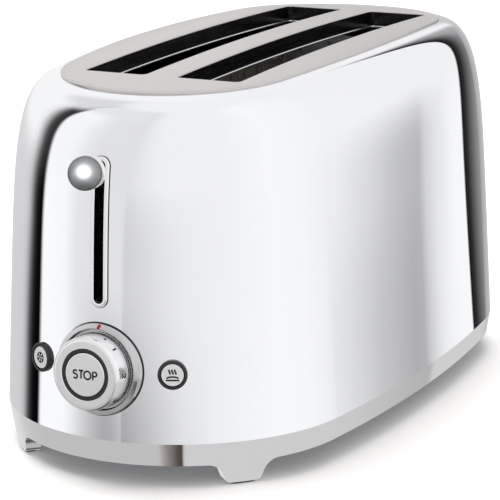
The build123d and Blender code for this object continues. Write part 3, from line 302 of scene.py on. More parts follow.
kept = []
for row in range(len(rows) - 1):
    for column in range(len(columns)):
        ahead = (column + 1) % len(columns)
        next_bearing = columns[ahead] + (2 * math.pi if ahead == 0 else 0)
        if not cut_away((columns[column] + next_bearing) / 2, (rows[row] + rows[row + 1]) / 2):
            kept.append(((row, column), (row, ahead), (row + 1, ahead), (row + 1, column)))
edge_uses = {}
for face in kept:
    for first, second in zip(face, face[1:] + face[:1]):
        edge_uses[frozenset((first, second))] = edge_uses.get(frozenset((first, second)), 0) + 1
edge_corners = {corner for edge, uses in edge_uses.items() if uses == 1 for corner in edge}
places = {}
outer_points, outer_normals = [], []
for face in kept:
    for row, column in face:
        if (row, column) not in places:
            bearing, share = columns[column], rows[row]
            if (row, column) in edge_corners and 0 < row < len(rows) - 1:
                bearing, share = eased_to_bore(bearing, share)
            places[(row, column)] = len(outer_points)
            outer_points.append(wall_point(bearing, share))
            outer_normals.append(wall_normal(bearing, share))
inner_points = [point - normal * shell_sheet for point, normal in zip(outer_points, outer_normals)]
inner_from = len(outer_points)
shell_faces, corner_normals = [], []
for face in kept:
    outer = [places[corner] for corner in face]
    shell_faces.append(outer)
    corner_normals += [outer_normals[index] for index in outer]
    shell_faces.append([index + inner_from for index in reversed(outer)])
    corner_normals += [-outer_normals[index] for index in reversed(outer)]
for face in kept:
    for first, second in zip(face, face[1:] + face[:1]):
        if edge_uses[frozenset((first, second))] == 1:
            a, b = places[first], places[second]
            shell_faces.append([b, a, a + inner_from, b + inner_from])
            out = (outer_points[a] - outer_points[b]).cross(outer_normals[a]).normalized()
            corner_normals += [out] * 4
chrome_plate = new_finish("chrome_plate", (0.964, 0.97, 0.998), rough=0.018, spread=0.01, tint=0.004,
                          grain=90)
body_wrap = new_piece("body_wrap", outer_points + inner_points, shell_faces, [chrome_plate], turn_out=False)
body_wrap.data.normals_split_custom_set(corner_normals)
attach(body_wrap, "body")
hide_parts("body_shell")

# Slot plate: one sheet of brushed stainless steel, bent to the crown. Its outer edge is rolled into a
# fine bright bead, and the two slots are pressed down at their edges.
bead_radius, bead_spread, plate_sink = 0.45, 1.2, 0.22
flat_inset, groove_inset = plate_inset + 2.4 * bead_radius, plate_inset + 1.9 * bead_radius
slot_lip, lip_drop, round_steps = 0.8, 0.6, 6
slot_half_width, slot_half_length, slot_corner = 18.5, 127, 3
slot_centre_x, slot_centre_y = 28, 15.21
slot_corner_x, slot_corner_y = slot_half_width - slot_corner, slot_half_length - slot_corner


def plate_outline(inset):
    outline = []
    for bearing in columns[::2]:
        arc_x, arc_y, radius = wall_arc(bearing)
        outline.append((arc_x + (radius - inset) * math.cos(bearing),
                        middle_y + arc_y + (radius - inset) * math.sin(bearing)))
    return outline


def slot_outline(centre_x, spread):
    outline = []
    radius = slot_corner + spread
    across, along = (2 * slot_corner_x, 4), (2 * slot_corner_y, 32)
    runs = ((1, 1, -1, 0, *across), (-1, 1, 0, -1, *along), (-1, -1, 1, 0, *across), (1, -1, 0, 1, *along))
    for corner, (hand_x, hand_y, run_x, run_y, length, pieces) in enumerate(runs):
        for step in range(round_steps + 1):
            angle = math.pi / 2 * (corner + step / round_steps)
            outline.append((centre_x + hand_x * slot_corner_x + radius * math.cos(angle),
                            slot_centre_y + hand_y * slot_corner_y + radius * math.sin(angle)))
        from_x, from_y = outline[-1]
        outline += [(from_x + run_x * length * step / pieces, from_y + run_y * length * step / pieces)
                    for step in range(1, pieces)]
    return outline


def in_slot(x, y, spread):
    past_x = abs(abs(x) - slot_centre_x) - slot_corner_x
    past_y = abs(y - slot_centre_y) - slot_corner_y
    past = math.hypot(past_x, past_y) if past_x > 0 and past_y > 0 else max(past_x, past_y)
    return past < slot_corner + spread


# A ring of points joins a list of points, and its places there come back as a loop.
def add_ring(points, ring):
    points += ring
    return list(range(len(points) - len(ring), len(points)))


flat_step, flat_half_width, flat_first_y, flat_last_y = 6, 66, -150, 168
side_room, end_room, slot_room, rim_slack = 66, 61, 2.5, 0.02
flat_points = []
borders = [add_ring(flat_points, plate_outline(flat_inset))]
for centre in (-slot_centre_x, slot_centre_x):
    borders.append(add_ring(flat_points, slot_outline(centre, slot_lip)))
for x in range(-flat_half_width, flat_half_width + 1, flat_step):
    for y in range(flat_first_y, flat_last_y, flat_step):
        past_end = max(abs(y - middle_y) - end_offset, 0)
        room = end_room if past_end else side_room
        if math.hypot(x, past_end) < room and not in_slot(x, y, slot_room):
            flat_points.append((x, y))
border_edges = [edge for border in borders for edge in zip(border, border[1:] + border[:1])]
flat_xy, _, triangles, sources, _, _ = delaunay_2d_cdt(
    [Vector(point) for point in flat_points], border_edges, [], 0, 1e-5)
found = {source: index for index, group in enumerate(sources) for source in group}


def over_slot(face):
    face_x, face_y = sum(flat_xy[i].x for i in face) / 3, sum(flat_xy[i].y for i in face) / 3
    return in_slot(face_x, face_y, slot_lip - rim_slack)


triangles = [face for face in triangles if not over_slot(face)]
plate_points = [(point.x, point.y, -plate_sink) for point in flat_xy]
plate_faces = [tuple(face) for face in triangles]
plate_under = len(plate_points)
plate_points += [(point.x, point.y, -plate_thick) for point in flat_xy]
plate_faces += [tuple(index + plate_under for index in reversed(face)) for face in triangles]


# Quads join each loop of points to the next one, and the last to the first where the section is closed.
def skin_between(loops, closed):
    faces = []
    for upper, lower in zip(loops, loops[1:] + (loops[:1] if closed else [])):
        corners = zip(upper, lower, lower[1:] + lower[:1], upper[1:] + upper[:1])
        faces += [tuple(corner) for corner in corners]
    return faces


def close_edge(border, rings, inward):
    loops = [[found[index] for index in border]]
    loops += [add_ring(plate_points, ring) for ring in rings]
    loops.append([found[index] + plate_under for index in border])
    plate_faces.extend(quad if inward else tuple(reversed(quad)) for quad in skin_between(loops, False))


bead_rings = [[(x, y, -0.5 * plate_sink) for x, y in plate_outline(groove_inset)]]
for step in range(round_steps + 1):
    angle = math.pi / 2 * step / round_steps
    bead_inset = bead_radius * (bead_spread - bead_spread * math.sin(angle))
    bead_rings.append([(x, y, -bead_radius * (1 - math.cos(angle)))
                       for x, y in plate_outline(plate_inset + bead_inset)])
bead_rings.append([(x, y, -plate_thick) for x, y in plate_outline(plate_inset)])
close_edge(borders[0], bead_rings, False)
for border, centre in zip(borders[1:], (-slot_centre_x, slot_centre_x)):
    lip_rings = []
    for step in range(1, round_steps + 1):
        angle = math.pi / 2 * step / round_steps
        lip_rings.append([(x, y, -plate_sink - lip_drop * (1 - math.cos(angle)))
                          for x, y in slot_outline(centre, slot_lip * (1 - math.sin(angle)))])
    lip_rings.append([(x, y, -plate_thick) for x, y in slot_outline(centre, 0)])
    close_edge(border, lip_rings, True)
plate_points = [Vector((x, y, crown_z(y - middle_y) + z)) for x, y, z in plate_points]
brushed_steel = new_finish("brushed_steel", (0.65, 0.623, 0.616), rough=0.33, spread=0.05, tint=0.03,
                           grain=(2400, 24, 2400), depth=1.2e-5)
slot_plate = new_piece("slot_plate", plate_points, plate_faces, [brushed_steel])
slot_plate.data.set_sharp_from_angle(angle=math.radians(40))
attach(slot_plate, "body")
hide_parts("top_plate")

# Slot collars: drawn steel collars that line the two slots under the plate. Their walls are coloured near
# black as painted shade for the dark inside of the slots. Each ends below in a rolled hem of bright steel.
liner_painted_shade = new_finish("liner_painted_shade", (0.09, 0.09, 0.095), rough=0.24, spread=0.06, tint=0.1,
                         grain=(1200, 40, 1200), depth=1e-5)
hem_bright = new_finish("hem_bright", (0.8, 0.8, 0.81), rough=0.16, spread=0.05, tint=0.1, grain=900,
                        depth=1e-5)


def oval_arc(x, y, radius_x, radius_y, first, last, steps=16):
    angles = [math.radians(first + (last - first) * step / steps) for step in range(steps + 1)]
    return [(x + radius_x * math.cos(angle), y + radius_y * math.sin(angle)) for angle in angles]


def arc(centre, radius, first, last, steps=6):
    return oval_arc(*centre, radius, radius, first, last, steps)


hem_crest = arc((-0.1, -9.9), 0.6, 90, 270, 10)
collar_section = [(0.05, -1.05), (0.05, -9.3)] + hem_crest
collar_section += [(0.8, -10.5), (0.8, -1.85), (3.0, -1.85), (3.0, -1.05)]
collar_bands = [0] * len(collar_section)
collar_bands[2:len(hem_crest) + 1] = [1] * (len(hem_crest) - 1)
for hand, centre in (("left", -slot_centre_x), ("right", slot_centre_x)):
    collar_points, collar_loops = [], []
    for spread, down in collar_section:
        ring = [(x, y, crown_z(y - middle_y) + down) for x, y in slot_outline(centre, spread)]
        collar_loops.append(add_ring(collar_points, ring))
    collar_paints = [band for band in collar_bands for point in ring]
    slot_collar = new_piece(f"slot_collar_{hand}", collar_points, skin_between(collar_loops, True),
                            [liner_painted_shade, hem_bright], collar_paints)
    slot_collar.data.set_sharp_from_angle(angle=math.radians(40))
    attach(slot_collar, "body")
    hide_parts(f"slot_liner_{hand}")

# Lift spring: an open coil of bright spring wire round the guide rod, which the carriage's hub presses
# down on the lower bracket as the lever goes down.
coil_radius, wire_radius, coil_turns, wire_sides = 4.9, 0.55, 14, 10
spring_foot, spring_head = (corner[2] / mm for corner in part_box("lift_spring"))
rod_low, rod_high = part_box("guide_rod")
rod_x, rod_y = (rod_low[0] + rod_high[0]) / 2 / mm, (rod_low[1] + rod_high[1]) / 2 / mm
coil_rise = spring_head - spring_foot - 2 * wire_radius
coil_steps = 36 * coil_turns
wire_turns = [2 * math.pi * number / wire_sides for number in range(wire_sides)]
coil_points, coil_loops = [], []
for step in range(coil_steps + 1):
    angle = 2 * math.pi * coil_turns * step / coil_steps
    out = Vector((math.cos(angle), math.sin(angle), 0))
    rise = spring_foot + wire_radius + coil_rise * step / coil_steps
    centre = Vector((rod_x, rod_y, rise)) + out * coil_radius
    coil_loops.append(add_ring(coil_points, [
        centre + (out * math.cos(turn) + Vector((0, 0, math.sin(turn)))) * wire_radius
        for turn in wire_turns]))
coil_faces = skin_between(coil_loops, False) + [tuple(coil_loops[0]), tuple(reversed(coil_loops[-1]))]
spring_wire = new_finish("spring_wire", (0.5, 0.5, 0.52), rough=0.25, spread=0.06, tint=0.05, grain=1200,
                         depth=5e-6)
coil_spring = new_piece("coil_spring", coil_points, coil_faces, [spring_wire])
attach(coil_spring, "body")
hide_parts("lift_spring")
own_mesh(coil_spring)

# Lever trim: a die-cast frame with a rounded face, chrome-plated and clipped into the slot in the shell.
# A narrow band at its foot, where it meets the wall, is coloured black as painted shade. The steel lever
# arm runs in its gap.
trim_top, trim_bottom = 173.4, 94.4
trim_outer, trim_inner, trim_neck, trim_proud, trim_deep = 5.3, 2.7, 3.3, 1.5, 2.4
inner_round, outer_round, trim_skirt = 0.55, 0.85, 0.35
straight_steps, end_steps = 20, 32


def front_wall(x, z):
    bearing, share = front_bearing, (z - seam_z) / wall_height
    for again in range(4):
        bearing = front_bearing + math.asin(x / (end_radius - wall_inset(share)))
        rim_z = crown_z(-end_offset + (end_radius - plate_inset) * math.sin(bearing)) - plate_thick
        share = (z - seam_z) / (rim_z - seam_z)
    return wall_point(bearing, share), wall_normal(bearing, share)


trim_section = [(trim_inner, -trim_deep)]
trim_section += arc((trim_inner + inner_round, trim_proud - inner_round), inner_round, 180, 90)
trim_section += arc((trim_outer - trim_skirt - outer_round, trim_proud - outer_round), outer_round, 90, 0, 8)
seam_from = len(trim_section) - 1
trim_section += [(trim_outer - trim_skirt, 0.12), (trim_outer, 0.12), (trim_outer, -0.1), (trim_neck, -0.3),
                 (trim_neck, -trim_deep)]
# The faces at the foot of the rounded face take the black finish: painted shade where the trim meets the
# wall.
trim_bands = [1 if seam_from <= number < seam_from + 3 else 0 for number in range(len(trim_section))]
low_centre, high_centre = trim_bottom + trim_outer, trim_top - trim_outer
stations = []
for from_z, to_z, turned_by in ((low_centre, high_centre, 0), (high_centre, low_centre, 180)):
    stations += [(from_z + (to_z - from_z) * step / straight_steps, turned_by)
                 for step in range(straight_steps)]
    stations += [(to_z, turned_by + 180 * step / end_steps) for step in range(end_steps)]
trim_points, trim_loops = [], []
for centre_z, degrees in stations:
    ring = []
    for across, out in trim_section:
        point, normal = front_wall(across * math.cos(math.radians(degrees)),
                                   centre_z + across * math.sin(math.radians(degrees)))
        ring.append(point + normal * out)
    trim_loops.append(add_ring(trim_points, ring))
# A near-black finish used as painted shade: the shadow lines where the lever trim and the dial's flange meet
# the wall, and the dark line round the knob's skirt. The dial's insert is dressed in it too.
black_and_painted_shade = new_finish("black_and_painted_shade", (0.012, 0.012, 0.012), rough=0.5, spread=0.05, tint=0.1, grain=900,
                          depth=1e-5, metal=0.0)
trim_chrome = new_finish("trim_chrome", (0.95, 0.95, 0.955), rough=0.03, spread=0.015, tint=0.005, grain=400)


def crisp(piece, degrees=32):
    piece.data.set_sharp_from_angle(angle=math.radians(degrees))
    weighted = piece.modifiers.new("even_light", "WEIGHTED_NORMAL")
    weighted.keep_sharp = True
    return piece


lever_trim = crisp(new_piece("lever_trim", trim_points, skin_between(trim_loops, True),
                             [trim_chrome, black_and_painted_shade], trim_bands * len(stations)))
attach(lever_trim, "body")
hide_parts("lever_bezel")

# Lever: the arm carries a plated collar and a ball of satin-polished steel, screwed on from the front.
# The collar is a ring that cups the back of the ball, on a narrower neck.
ball_radius, ball_z = 8.8, 167.6
ball_centre = Vector((0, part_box("lever_ball")[0][1] / mm + ball_radius, ball_z))
# The ball's steel is a dark grey with a darker edge tint, so that it goes dark toward its rim: painted shade
# standing in for the darker surroundings it mirrors there.
ball_steel = new_finish("ball_steel", (0.33, 0.34, 0.345), rough=0.46, spread=0.02, tint=0.01, grain=1800,
                        depth=4e-6)
ball_steel.node_tree.nodes["Principled BSDF"].inputs["Specular Tint"].default_value = (0.1, 0.1, 0.1, 1)
# The arm is coloured dark grey as painted shade, so that the lever's gap reads dark beside the ball.
arm_shaded_steel = new_finish("arm_shaded_steel", (0.2, 0.2, 0.205), rough=0.3, spread=0.05, tint=0.05,
                       grain=(1800, 60, 1800), depth=6e-6)
dress(ball_steel, "lever_ball")
dress(arm_shaded_steel, "lever_arm")


# An outline is radius and distance along the axis, and the distance may depend on the spot it stands over.
def lathed(name, outline, origin, axis, materials, bands, steps=96):
    level = Vector((0, 0, 1)).cross(axis).normalized()
    rise = axis.cross(level)
    angles = [2 * math.pi * step / steps for step in range(steps)]
    points, loops = [], []
    for radius, out in outline:
        spots = [origin + (level * math.cos(angle) + rise * math.sin(angle)) * radius for angle in angles]
        loops.append(add_ring(points, [
            spot + axis * (out(spot) if callable(out) else out) for spot in spots]))
    paints = [band for band in bands for step in range(steps)]
    return crisp(new_piece(name, points, skin_between(loops, True), materials, paints))


collar_outline = [(5.0, -8.7), (5.0, -5.6), (7.6, -3.6)] + arc((8.55, -3.95), 0.4, 130, 0)
collar_outline += arc((8.55, -5.4), 0.4, 0, -90) + [(6.4, -5.9), (6.2, -6.1), (6.2, -8.7)]
collar = lathed("collar", list(reversed(collar_outline)), ball_centre, Vector((0, -1, 0)), [trim_chrome],
                [0] * len(collar_outline))
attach(collar, "lever")
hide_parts("lever_collar")
for piece in (collar, nodes["lever_ball"], nodes["lever_arm"]):
    piece.visible_glossy = False

# Dial flange: a rim turned from aluminium bar and polished, with a bevel down to the knob. A thin step
# round its foot follows the wall and is coloured black as painted shade, the shadow line where the rim
# meets the wall. Its threaded barrel is held by a nut behind the wall.
dial_origin = Vector((0, -183.914, control_z))
dial_axis = Vector((0, -0.99877, 0.04959)).normalized()
shade_step_radius, flange_radius, barrel_radius, barrel_bore, barrel_end = 24.95, 24.4, 8.0, 5.3, -8.4


def off_wall(gap):
    return lambda spot: (front_wall(spot.x, spot.z)[0] - dial_origin).dot(dial_axis) + gap


flange_outline = [(barrel_radius, off_wall(0.02)), (shade_step_radius, off_wall(0.02)),
                  (shade_step_radius, off_wall(0.25)), (flange_radius, off_wall(0.3))]
flange_outline += arc((23.4, 1.2), 1.0, 0, 55, 8) + arc((22.1, 2.3), 0.5, 60, 180, 8)
flange_outline += [(21.0, 0.9), (20.8, 0.8), (barrel_bore, 0.8), (barrel_bore, barrel_end),
                   (barrel_radius, barrel_end)]
# The thin step's faces take the black finish: a painted shadow line against the wall.
flange_bands = [0] * len(flange_outline)
flange_bands[1:3] = [1] * 2
flange_metal = new_finish("flange_metal", (0.64, 0.64, 0.65), rough=0.12, spread=0.02, tint=0.01, grain=1500,
                          depth=3e-6)
dial_flange = lathed("dial_flange", flange_outline, dial_origin, dial_axis, [flange_metal, black_and_painted_shade],
                     flange_bands)
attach(dial_flange, "body")
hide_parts("dial_bezel")
dress(screw_zinc, "dial_nut", "button_nuts")

# Dial knob: turned in satin aluminium round a deep recess, with a soft front edge and a fine groove round
# its skirt, coloured black as a painted shadow line just above the flange. It turns on a tube through the
# wall, and the settings are filled in black on its side.
knob_front, knob_back, knob_foot_radius, knob_taper = 15.0, 1.3, 20.2, 0.7
recess_radius, recess_floor, tube_radius, tube_bore, tube_end = 13.7, 8.0, 5.0, 3.3, -18.2
line_top, line_bottom, line_radius = 4.9, 4.3, 19.3


def knob_radius(out):
    return knob_foot_radius - knob_taper * (out - knob_back) / (knob_front - knob_back)


knob_outline = [(recess_radius, recess_floor), (recess_radius, 14.8), (13.9, knob_front), (17.0, knob_front)]
knob_outline += arc((17.25, 12.75), 2.25, 90, 2, 12) + [(knob_radius(10), 10)]
line_from = len(knob_outline)
knob_outline += [(knob_radius(line_top), line_top), (line_radius, 4.85), (line_radius, 4.35),
                 (knob_radius(line_bottom), line_bottom), (knob_radius(1.6), 1.6), (19.9, knob_back),
                 (tube_radius, knob_back), (tube_radius, tube_end), (tube_bore, tube_end),
                 (tube_bore, recess_floor)]
# The groove's faces take the black finish as painted shade.
knob_bands = [0] * len(knob_outline)
knob_bands[line_from:line_from + 3] = [1] * 3
knob_satin = new_finish("knob_satin", (0.97, 0.97, 0.975), rough=0.24, spread=0.03, tint=0.015, grain=2600,
                        depth=6e-6)
knob = lathed("knob", knob_outline, dial_origin, dial_axis, [knob_satin, black_and_painted_shade], knob_bands)
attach(knob, "dial")
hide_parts("dial_knob")
dress(black_and_painted_shade, "dial_insert")
dress(knob_satin, "stop_button")

# Markings: fine strokes of black enamel filled into the metal, a hair proud of it. The stop button has
# its word, and the knob has a dot for off and six settings round its side. A red line on the flange's
# bevel points to the one that is set.
enamel_black = new_finish("enamel_black", (0.006, 0.006, 0.007), rough=0.6, spread=0.04, tint=0.1, grain=1500,
                          depth=1e-5, metal=0.0)
enamel_red = new_finish("enamel_red", (0.32, 0.007, 0.02), rough=0.3, spread=0.04, tint=0.1, grain=1500,
                        depth=1e-5, metal=0.0)


# A lay carries a drawn sign's x, y and depth to the metal: to a flat face, or round the knob's side.
def flat_lay(origin, axis, lift):
    level = Vector((0, 0, 1)).cross(axis).normalized()
    rise = axis.cross(level)
    return lambda x, y, out: origin + level * x + rise * y + axis * (lift + out)


def side_lay(at_degrees, at_out):
    level = Vector((0, 0, 1)).cross(dial_axis).normalized()
    rise = dial_axis.cross(level)

    def lay(x, y, out):
        radius = knob_radius(at_out + y) + out
        angle = math.radians(at_degrees) + x / radius
        spoke = level * math.sin(angle) + rise * math.cos(angle)
        return dial_origin + dial_axis * (at_out + y) + spoke * radius
    return lay


def filled_marks(name, strokes, width, lay, material, body, deep=0.08, proud=0.03):
    points, faces = [], []
    for stroke in strokes:
        whole = stroke[0] == stroke[-1]
        line = stroke[:-1] if whole else stroke
        rings = []
        for i, (x, y) in enumerate(line):
            before = line[i - 1] if i or whole else line[i]
            after = line[(i + 1) % len(line)] if i < len(line) - 1 or whole else line[i]
            along_x, along_y = after[0] - before[0], after[1] - before[1]
            size = math.hypot(along_x, along_y)
            across_x, across_y = -along_y / size * width / 2, along_x / size * width / 2
            rings.append(add_ring(points, [
                lay(x + across_x, y + across_y, proud), lay(x - across_x, y - across_y, proud),
                lay(x - across_x, y - across_y, -deep), lay(x + across_x, y + across_y, -deep)]))
        faces += skin_between(rings, whole)
        if not whole:
            faces += [tuple(reversed(rings[0])), tuple(rings[-1])]
    piece = new_piece(name, points, faces, [material])
    piece.data.set_sharp_from_angle(angle=math.radians(30))
    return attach(piece, body)


stop_letters = [
    oval_arc(-5.55, 1.05, 1.15, 0.95, 35, 270, 12) + oval_arc(-5.55, -1.05, 1.2, 1.15, 90, -145, 12)[1:],
    [(-3.6, 2.1), (-0.7, 2.1)], [(-2.15, 2.1), (-2.15, -2.15)],
    oval_arc(1.55, 0, 2.0, 2.12, 0, 360, 28),
    [(4.75, -2.15), (4.75, 2.1), (5.9, 2.1)] + oval_arc(5.9, 0.98, 1.2, 1.12, 90, -90, 12)[1:]
    + [(4.75, -0.14)]]
button_face = flat_lay(dial_origin, dial_axis, knob_front)
filled_marks("stop_word", stop_letters, 1.0, button_face, enamel_black, "stop")
numerals = {
    1: [[(-0.5, 0.85), (0.1, 1.3), (0.1, -1.3)]],
    2: [oval_arc(0, 0.55, 0.75, 0.75, 160, -35, 10) + [(-0.8, -1.3), (0.85, -1.3)]],
    3: [oval_arc(0, 0.62, 0.7, 0.66, 150, -80, 10) + oval_arc(0, -0.62, 0.78, 0.68, 75, -150, 10)],
    4: [[(0.4, -1.3), (0.4, 1.3), (-0.8, -0.5), (0.85, -0.5)]],
    5: [[(0.7, 1.3), (-0.5, 1.3), (-0.62, 0.2)] + oval_arc(0, -0.45, 0.8, 0.82, 120, -150, 12)],
    6: [[(0.45, 1.3), (-0.6, -0.1)] + oval_arc(0, -0.5, 0.75, 0.8, 165, -195, 18)]}
numeral_scale, numeral_stroke, numeral_out = 1.3, 0.95, 9.0
first_degrees, setting_degrees = 2, 43
for number, strokes in numerals.items():
    scaled = [[(numeral_scale * x, -numeral_scale * y) for x, y in stroke] for stroke in strokes]
    filled_marks(f"setting_{number}", scaled, numeral_stroke,
                 side_lay(first_degrees + setting_degrees * number, numeral_out), enamel_black, "dial")
filled_marks("off_dot", [[(-0.7, 0), (0.7, 0)]], 1.4, side_lay(23, 7.6), enamel_black, "dial")
bevel_top, bevel_edge, bevel_round = 2.8, 22.1, 0.5
slope_from, slope, slope_drop, bevel_ease = 22.35, 0.4105, 0.07, 0.25


def bevel_lay(x, y, out):
    radius = math.hypot(x, y)
    if radius < bevel_edge:
        drop = bevel_round - math.sqrt(bevel_round ** 2 - (bevel_edge - radius) ** 2)
    else:
        drop = max(radius - slope_from, 0) * slope + slope_drop * min((radius - bevel_edge) / bevel_ease, 1)
    return flat_lay(dial_origin, dial_axis, bevel_top - drop)(x, y, out)


pointer_line = [(1.75 - 0.1 * step, 24.0 - 0.17 * step) for step in range(9)]
pointer_line += [(0.93, 22.4), (0.9, 22.2), (0.9, 22.0), (0.9, 21.8), (0.9, 21.7)]
pointer = filled_marks("pointer_mark", [pointer_line], 1.8, bevel_lay, enamel_red, "body",
                       deep=0.3, proud=0.04)
pointer.visible_glossy = False

# Buttons: two small sprung plungers in dark turned bezels, one each side of the dial, each with its sign
# filled in black: a frost star for thawing, and steam over a bun for warming again.
button_place, button_axis, button_lift = (38.80, -175.76, 61.7), (0.40305, -0.91383, 0.04959), 1.6
bezel_dark = new_finish("bezel_dark", (0.06, 0.06, 0.065), rough=0.22, spread=0.04, tint=0.03, grain=900,
                        depth=5e-6)
button_satin = new_finish("button_satin", (0.92, 0.92, 0.93), rough=0.3, spread=0.03, tint=0.015, grain=2600,
                          depth=6e-6)
dress(bezel_dark, "defrost_bezel", "reheat_bezel")
dress(button_satin, "defrost_button", "reheat_button")


def button_lay(hand):
    mirrored = Vector((hand, 1, 1))
    axis = (mirrored * Vector(button_axis)).normalized()
    return flat_lay(mirrored * Vector(button_place), axis, button_lift)


def spoke_point(radius, angle):
    return radius * math.cos(angle), radius * math.sin(angle)


star_hub, star_reach, fork_from, fork_reach, fork_lean = 0.5, 3.1, 2.0, 2.9, 0.42
star_strokes = []
for arm in range(6):
    angle = math.radians(60 * arm + 30)
    star_strokes.append([spoke_point(star_hub, angle), spoke_point(star_reach, angle)])
    for lean in (-fork_lean, fork_lean):
        star_strokes.append([spoke_point(fork_from, angle), spoke_point(fork_reach, angle + lean)])
filled_marks("frost_star", star_strokes, 0.78, button_lay(-1), enamel_black, "defrost")
steam_strokes = [[(x + 0.32 * math.sin(step * math.pi / 5), 0.4 + 0.26 * step) for step in range(11)]
                 for x in (-1.5, 0, 1.5)]
bun_strokes = [[(-3.5, -2.7), (3.5, -2.7)], oval_arc(0, -2.0, 3.1, 1.15, 168, 12, 14)]
filled_marks("steam_bun", steam_strokes + bun_strokes, 0.92, button_lay(1), enamel_black, "reheat")

# Studio: a white table under a soft white tent with dark flags, lit by one large soft key from above and
# a little behind. The flags are what the polished wall shows as its dark upright bands.
view_azimuth = math.radians(26.544)
toward_camera = Vector((math.sin(view_azimuth), -math.cos(view_azimuth), 0))
toward_right = Vector((math.cos(view_azimuth), math.sin(view_azimuth), 0))
world = bpy.data.worlds.new("soft_tent")
bpy.context.scene.world = world
world.use_nodes = True
tent = world.node_tree
tent.nodes.clear()
tent_out = tent.nodes.new("ShaderNodeOutputWorld")
glow = tent.nodes.new("ShaderNodeBackground")
tent.links.new(glow.outputs["Background"], tent_out.inputs["Surface"])
direction = tent.nodes.new("ShaderNodeTexCoord").outputs["Generated"]


def light_level(grey):
    share = grey / 255
    return share / 12.92 if share <= 0.04045 else ((share + 0.055) / 1.055) ** 2.4


def put(socket, value):
    if isinstance(value, bpy.types.NodeSocket):
        tent.links.new(value, socket)
    else:
        socket.default_value = value


def reckon(operation, first, second=0.0, third=0.0):
    step = tent.nodes.new("ShaderNodeMath")
    step.operation = operation
    for socket, value in zip(step.inputs, (first, second, third)):
        put(socket, value)
    return step.outputs[0]


def times(first, second):
    return reckon("MULTIPLY", first, second)


def along(axis):
    step = tent.nodes.new("ShaderNodeVectorMath")
    step.operation = "DOT_PRODUCT"
    tent.links.new(direction, step.inputs[0])
    step.inputs[1].default_value = axis
    return step.outputs["Value"]


def smooth_between(value, low, high, out_low=0.0, out_high=1.0):
    step = tent.nodes.new("ShaderNodeMapRange")
    step.interpolation_type = "SMOOTHSTEP"
    put(step.inputs["Value"], value)
    step.inputs["From Min"].default_value = low
    step.inputs["From Max"].default_value = high
    step.inputs["To Min"].default_value = out_low
    step.inputs["To Max"].default_value = out_high
    return step.outputs["Result"]


def blended(share, first, second):
    step = tent.nodes.new("ShaderNodeMix")
    step.data_type = "RGBA"
    put(step.inputs[0], share)
    for socket, value in ((step.inputs[6], first), (step.inputs[7], second)):
        put(socket, (value, value, value, 1) if isinstance(value, float) else value)
    return step.outputs[2]


def tent_levels(turn, stops):
    ramp = tent.nodes.new("ShaderNodeValToRGB")
    put(ramp.inputs["Fac"], reckon("MULTIPLY_ADD", turn, 1 / 360, 0.5))
    elements = ramp.color_ramp.elements
    elements.remove(elements[-1])
    for number, (degrees, *greys) in enumerate(stops):
        element = elements[0] if number == 0 else elements.new((degrees + 180) / 360)
        element.position = (degrees + 180) / 360
        levels = [light_level(grey) for grey in (greys if len(greys) == 3 else greys * 3)]
        element.color = (*levels, 1)
    return ramp.outputs["Color"]


# The tent's brightness goes by a ray's height above the horizon and its turn from one fixed bearing, both in
# degrees. Each list below is of such turns, with their brightness from 0 to 255.
ray_height = times(reckon("ARCSINE", along((0, 0, 1))), 180 / math.pi)
ray_turn = times(reckon("ARCTAN2", along(toward_right), along(toward_camera)), 180 / math.pi)
flag_lean = 0.28
on_left = smooth_between(ray_turn, -10, -40)
leaned_turn = reckon("SUBTRACT", ray_turn, times(times(ray_height, flag_lean), on_left))
deep_tent = tent_levels(leaned_turn, [
    (-180, 250), (-166, 214), (-131, 208), (-127, 200), (-123.5, 180), (-121, 145), (-118, 90), (-115, 45),
    (-112, 16), (-109, 8), (-104.4, 6), (-103.6, 224), (-101, 254), (-80, 252), (-73, 236), (-66, 214),
    (-58, 190), (-50, 170), (-44, 172), (-37.6, 192), (-36.8, 165), (-24, 188), (-12, 211), (0, 228),
    (20, 242), (60, 252), (85, 250), (105, 243), (112, 238), (117, 219), (121, 200), (128, 175)])
low_tent = tent_levels(leaned_turn, [
    (-180, 250), (-168, 218), (-131, 214), (-125, 205), (-121, 183), (-117.5, 130), (-114.5, 70),
    (-111.5, 30), (-108, 12), (-104.4, 8), (-103.6, 240), (-101, 255), (-82, 251), (-72, 232), (-64, 229),
    (-38, 228), (-36, 212), (-22, 222), (-10, 232), (3, 239), (30, 244), (62, 251), (85, 249), (105, 244),
    (114, 240), (117, 229), (120, 219), (124, 200), (127, 190), (129.6, 186), (130.8, 214), (134, 236)])
high_tent = tent_levels(leaned_turn, [
    (-180, 248), (-128, 248), (-122, 235), (-118, 195), (-115, 150), (-112.5, 100), (-110, 66), (-107, 52),
    (-104.4, 50), (-103.4, 150), (-102, 250), (-84, 249), (-74, 238), (-62, 228), (-36, 227), (-24, 238),
    (-12, 243), (30, 244), (62, 251), (105, 247), (130, 243), (180, 245)])
low_tent = blended(smooth_between(ray_turn, 134, 138), low_tent, light_level(250))
deep_rise = tent_levels(ray_turn, [
    (-180, 175), (129, 178), (130.2, 184), (130.9, 212), (134, 240), (138, 251), (180, 251)])
deep_tent = blended(smooth_between(ray_turn, 127.5, 128.5), deep_tent, deep_rise)
walls = blended(smooth_between(ray_height, -13.5, -9), deep_tent, low_tent)
walls = blended(smooth_between(ray_height, -8, 3), walls, high_tent)
over_left = times(smooth_between(ray_turn, -90, -104), smooth_between(ray_height, 32, 46))
over_left = times(over_left, smooth_between(ray_turn, -168, -135))
walls = blended(over_left, walls, light_level(221))
over_front = times(smooth_between(ray_turn, -20, -50), smooth_between(ray_height, 36, 50))
walls = blended(times(over_front, smooth_between(ray_turn, -104, -90)), walls, light_level(232))
walls = blended(smooth_between(ray_height, 60, 72), walls, light_level(244))

